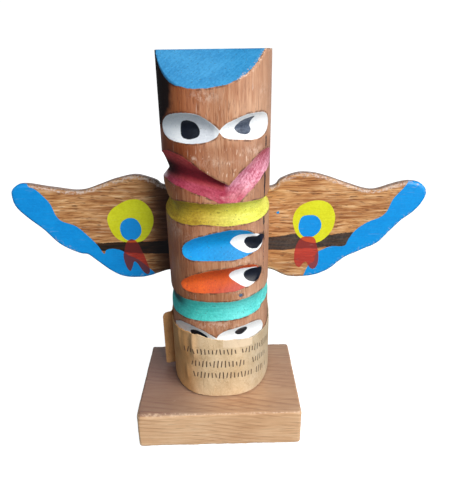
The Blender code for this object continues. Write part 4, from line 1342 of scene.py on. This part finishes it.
def block_material():
    """Pale brown block wood whose growth rings run along it, darker and greyer on the top, with painted
    shadow of the pole on the top's left.
    """
    material, b, shader = new_material("block wood", 0.6)
    spot = b.place()
    side = b.part(spot, "X")
    wood = b.use("wood grain", {"Vector": b.turned(spot, 90.0), "Fineness": 1300.0,
                                "Waviness": 0.003})
    through = b.put("ShaderNodeVectorMath", {0: spot, 1: (0.10, 0.60, 0.79)}, out="Value",
                    operation="DOT_PRODUCT")
    through = b.sum(through, b.sway(b.stretch(spot, (9.0, 26.0, 26.0)), 1.0, 1.0, 0.0120))
    ring = b.do("FRACT", b.times(through, 1.0 / RING_PITCH))
    patches = b.soft(b.noise(b.stretch(spot, (34.0, 170.0, 170.0)), 1.0, 2.0), 0.40, 0.62)
    late = b.times(b.window(ring, 0.45, 0.92, 0.94, 1.0), patches)
    shade = b.sum(b.times(wood["Fibre"], 0.55), b.times(wood["Tone"], 0.45))
    colour = b.tones(shade, (0.30, (200, 150, 108)), (0.5, (229, 184, 141)), (0.70, (246, 210, 170)))
    # the top darker and greyer everywhere, more towards the back and the right end, and most on the
    # left as painted shadow of the pole
    grey_and_painted_shadow = b.sum(b.times(b.soft(side, 0.010, -0.026), 0.42), 0.26,
                 b.times(b.soft(b.part(spot, "Y"), -0.020, 0.004), 0.16),
                 b.times(b.soft(side, 0.018, 0.029), 0.13))
    top = b.times(b.soft(b.facing("Z"), 0.35, 0.85), grey_and_painted_shadow)
    scuff = b.use("scuffs", {"Vector": spot, "Amount": 0.9})
    edge = b.times(b.soft(b.mark("edge"), 0.02, 0.35),
                   b.soft(b.noise(spot, 700.0, 3.0, 0.7), 0.46, 0.62))
    colour = b.layered(colour,
                       (late, 0.46, (166, 110, 74)),
                       (wood["Pore"], 0.28, (130, 88, 62)),
                       (top, 1.0, (112, 80, 78)),
                       (scuff["Rub"], 0.3, (232, 206, 180)),
                       (edge, 0.6, (232, 200, 168)))
    finish(b, shader, colour, b.sum(b.times(wood["Fibre"], 0.2), 0.48),
           b.sum(b.times(wood["Fibre"], 0.12), b.times(late, 0.03)))
    return material


# Light, floor and camera
def stand(item, right, up, behind, place):
    """Adds an object to the scene at a place, with three directions as its own axes."""
    rows = np.stack([right, up, behind, place], axis=1).tolist()
    item.matrix_world = Matrix([*rows, (0.0, 0.0, 0.0, 1.0)])
    bpy.context.scene.collection.objects.link(item)


def make_camera():
    """The photograph's view: yaw and pitch set the way it looks, roll turns it about that."""
    yaw, pitch, roll = (math.radians(v) for v in (CAMERA_YAW, CAMERA_PITCH, CAMERA_ROLL))
    ahead = np.array((math.sin(yaw) * math.cos(pitch), math.cos(yaw) * math.cos(pitch),
                      -math.sin(pitch)))
    right = np.array((math.cos(yaw), -math.sin(yaw), 0.0))
    up = np.cross(right, ahead)
    data = bpy.data.cameras.new("camera")
    data.sensor_width = FILM_SIZE
    data.lens = FOCAL_PIXELS / FRAME_HEIGHT * FILM_SIZE
    data.clip_start = 0.01
    camera = bpy.data.objects.new("camera", data)
    stand(camera, math.cos(roll) * right + math.sin(roll) * up,
          -math.sin(roll) * right + math.cos(roll) * up, -ahead, CAMERA_PLACE)
    bpy.context.scene.camera = camera


def make_light(name, place, size, power, colour):
    """A square area light that looks at the middle of the pole."""
    data = bpy.data.lights.new(name, "AREA")
    data.size = size
    data.energy = power
    data.color = colour
    away = np.array(place) - LAMP_TARGET
    away /= np.linalg.norm(away)
    side = np.cross((0.0, 0.0, 1.0), away)
    side /= np.linalg.norm(side)
    stand(bpy.data.objects.new(name, data), side, np.cross(away, side), away, place)


def make_stage():
    """A pale floor that curves up into a backdrop, the world's soft light and the lamps."""
    turn = np.linspace(-math.pi / 2, 0.0, 16)
    line = np.concatenate([[(-1.6, 0.0), (0.9, 0.0)],
                           np.stack([0.9 + 0.6 * np.cos(turn), 0.6 + 0.6 * np.sin(turn)], 1)[1:],
                           [(1.5, 2.0)]])
    points = [(x, y, z) for y, z in line for x in (-2.2, 2.2)]
    mesh = bpy.data.meshes.new("floor")
    mesh.from_pydata(points, [], [(2 * k, 2 * k + 1, 2 * k + 3, 2 * k + 2)
                                  for k in range(len(line) - 1)])
    mesh.shade_smooth()
    material, _, shader = new_material("pale floor", 0.9)
    shader["Base Color"].default_value = (0.42, 0.42, 0.42, 1.0)
    shader["Specular IOR Level"].default_value = 0.1
    shader["Emission Color"].default_value = (1.0, 1.0, 1.0, 1.0)
    shader["Emission Strength"].default_value = 0.93
    mesh.materials.append(material)
    floor = bpy.data.objects.new("floor", mesh)
    floor.visible_diffuse = False
    floor.visible_glossy = False
    bpy.context.scene.collection.objects.link(floor)
    world = bpy.data.worlds.new("studio")
    world.use_nodes = True
    background = world.node_tree.nodes["Background"]
    background.inputs["Color"].default_value = (0.74, 0.88, 1.0, 1.0)
    background.inputs["Strength"].default_value = 0.13
    bpy.context.scene.world = world
    for lamp in LAMPS:
        make_light(*lamp)
    bpy.context.scene.view_settings.view_transform = "Standard"


def main():
    make_camera()
    make_stage()
    wood_grain_group()
    paint_edge_group()
    brushed_coat_group()
    scuffs_group()
    make_block(block_material())
    make_pole(pole_material())
    make_wings(wing_material())
    make_paper(paper_material())


main()
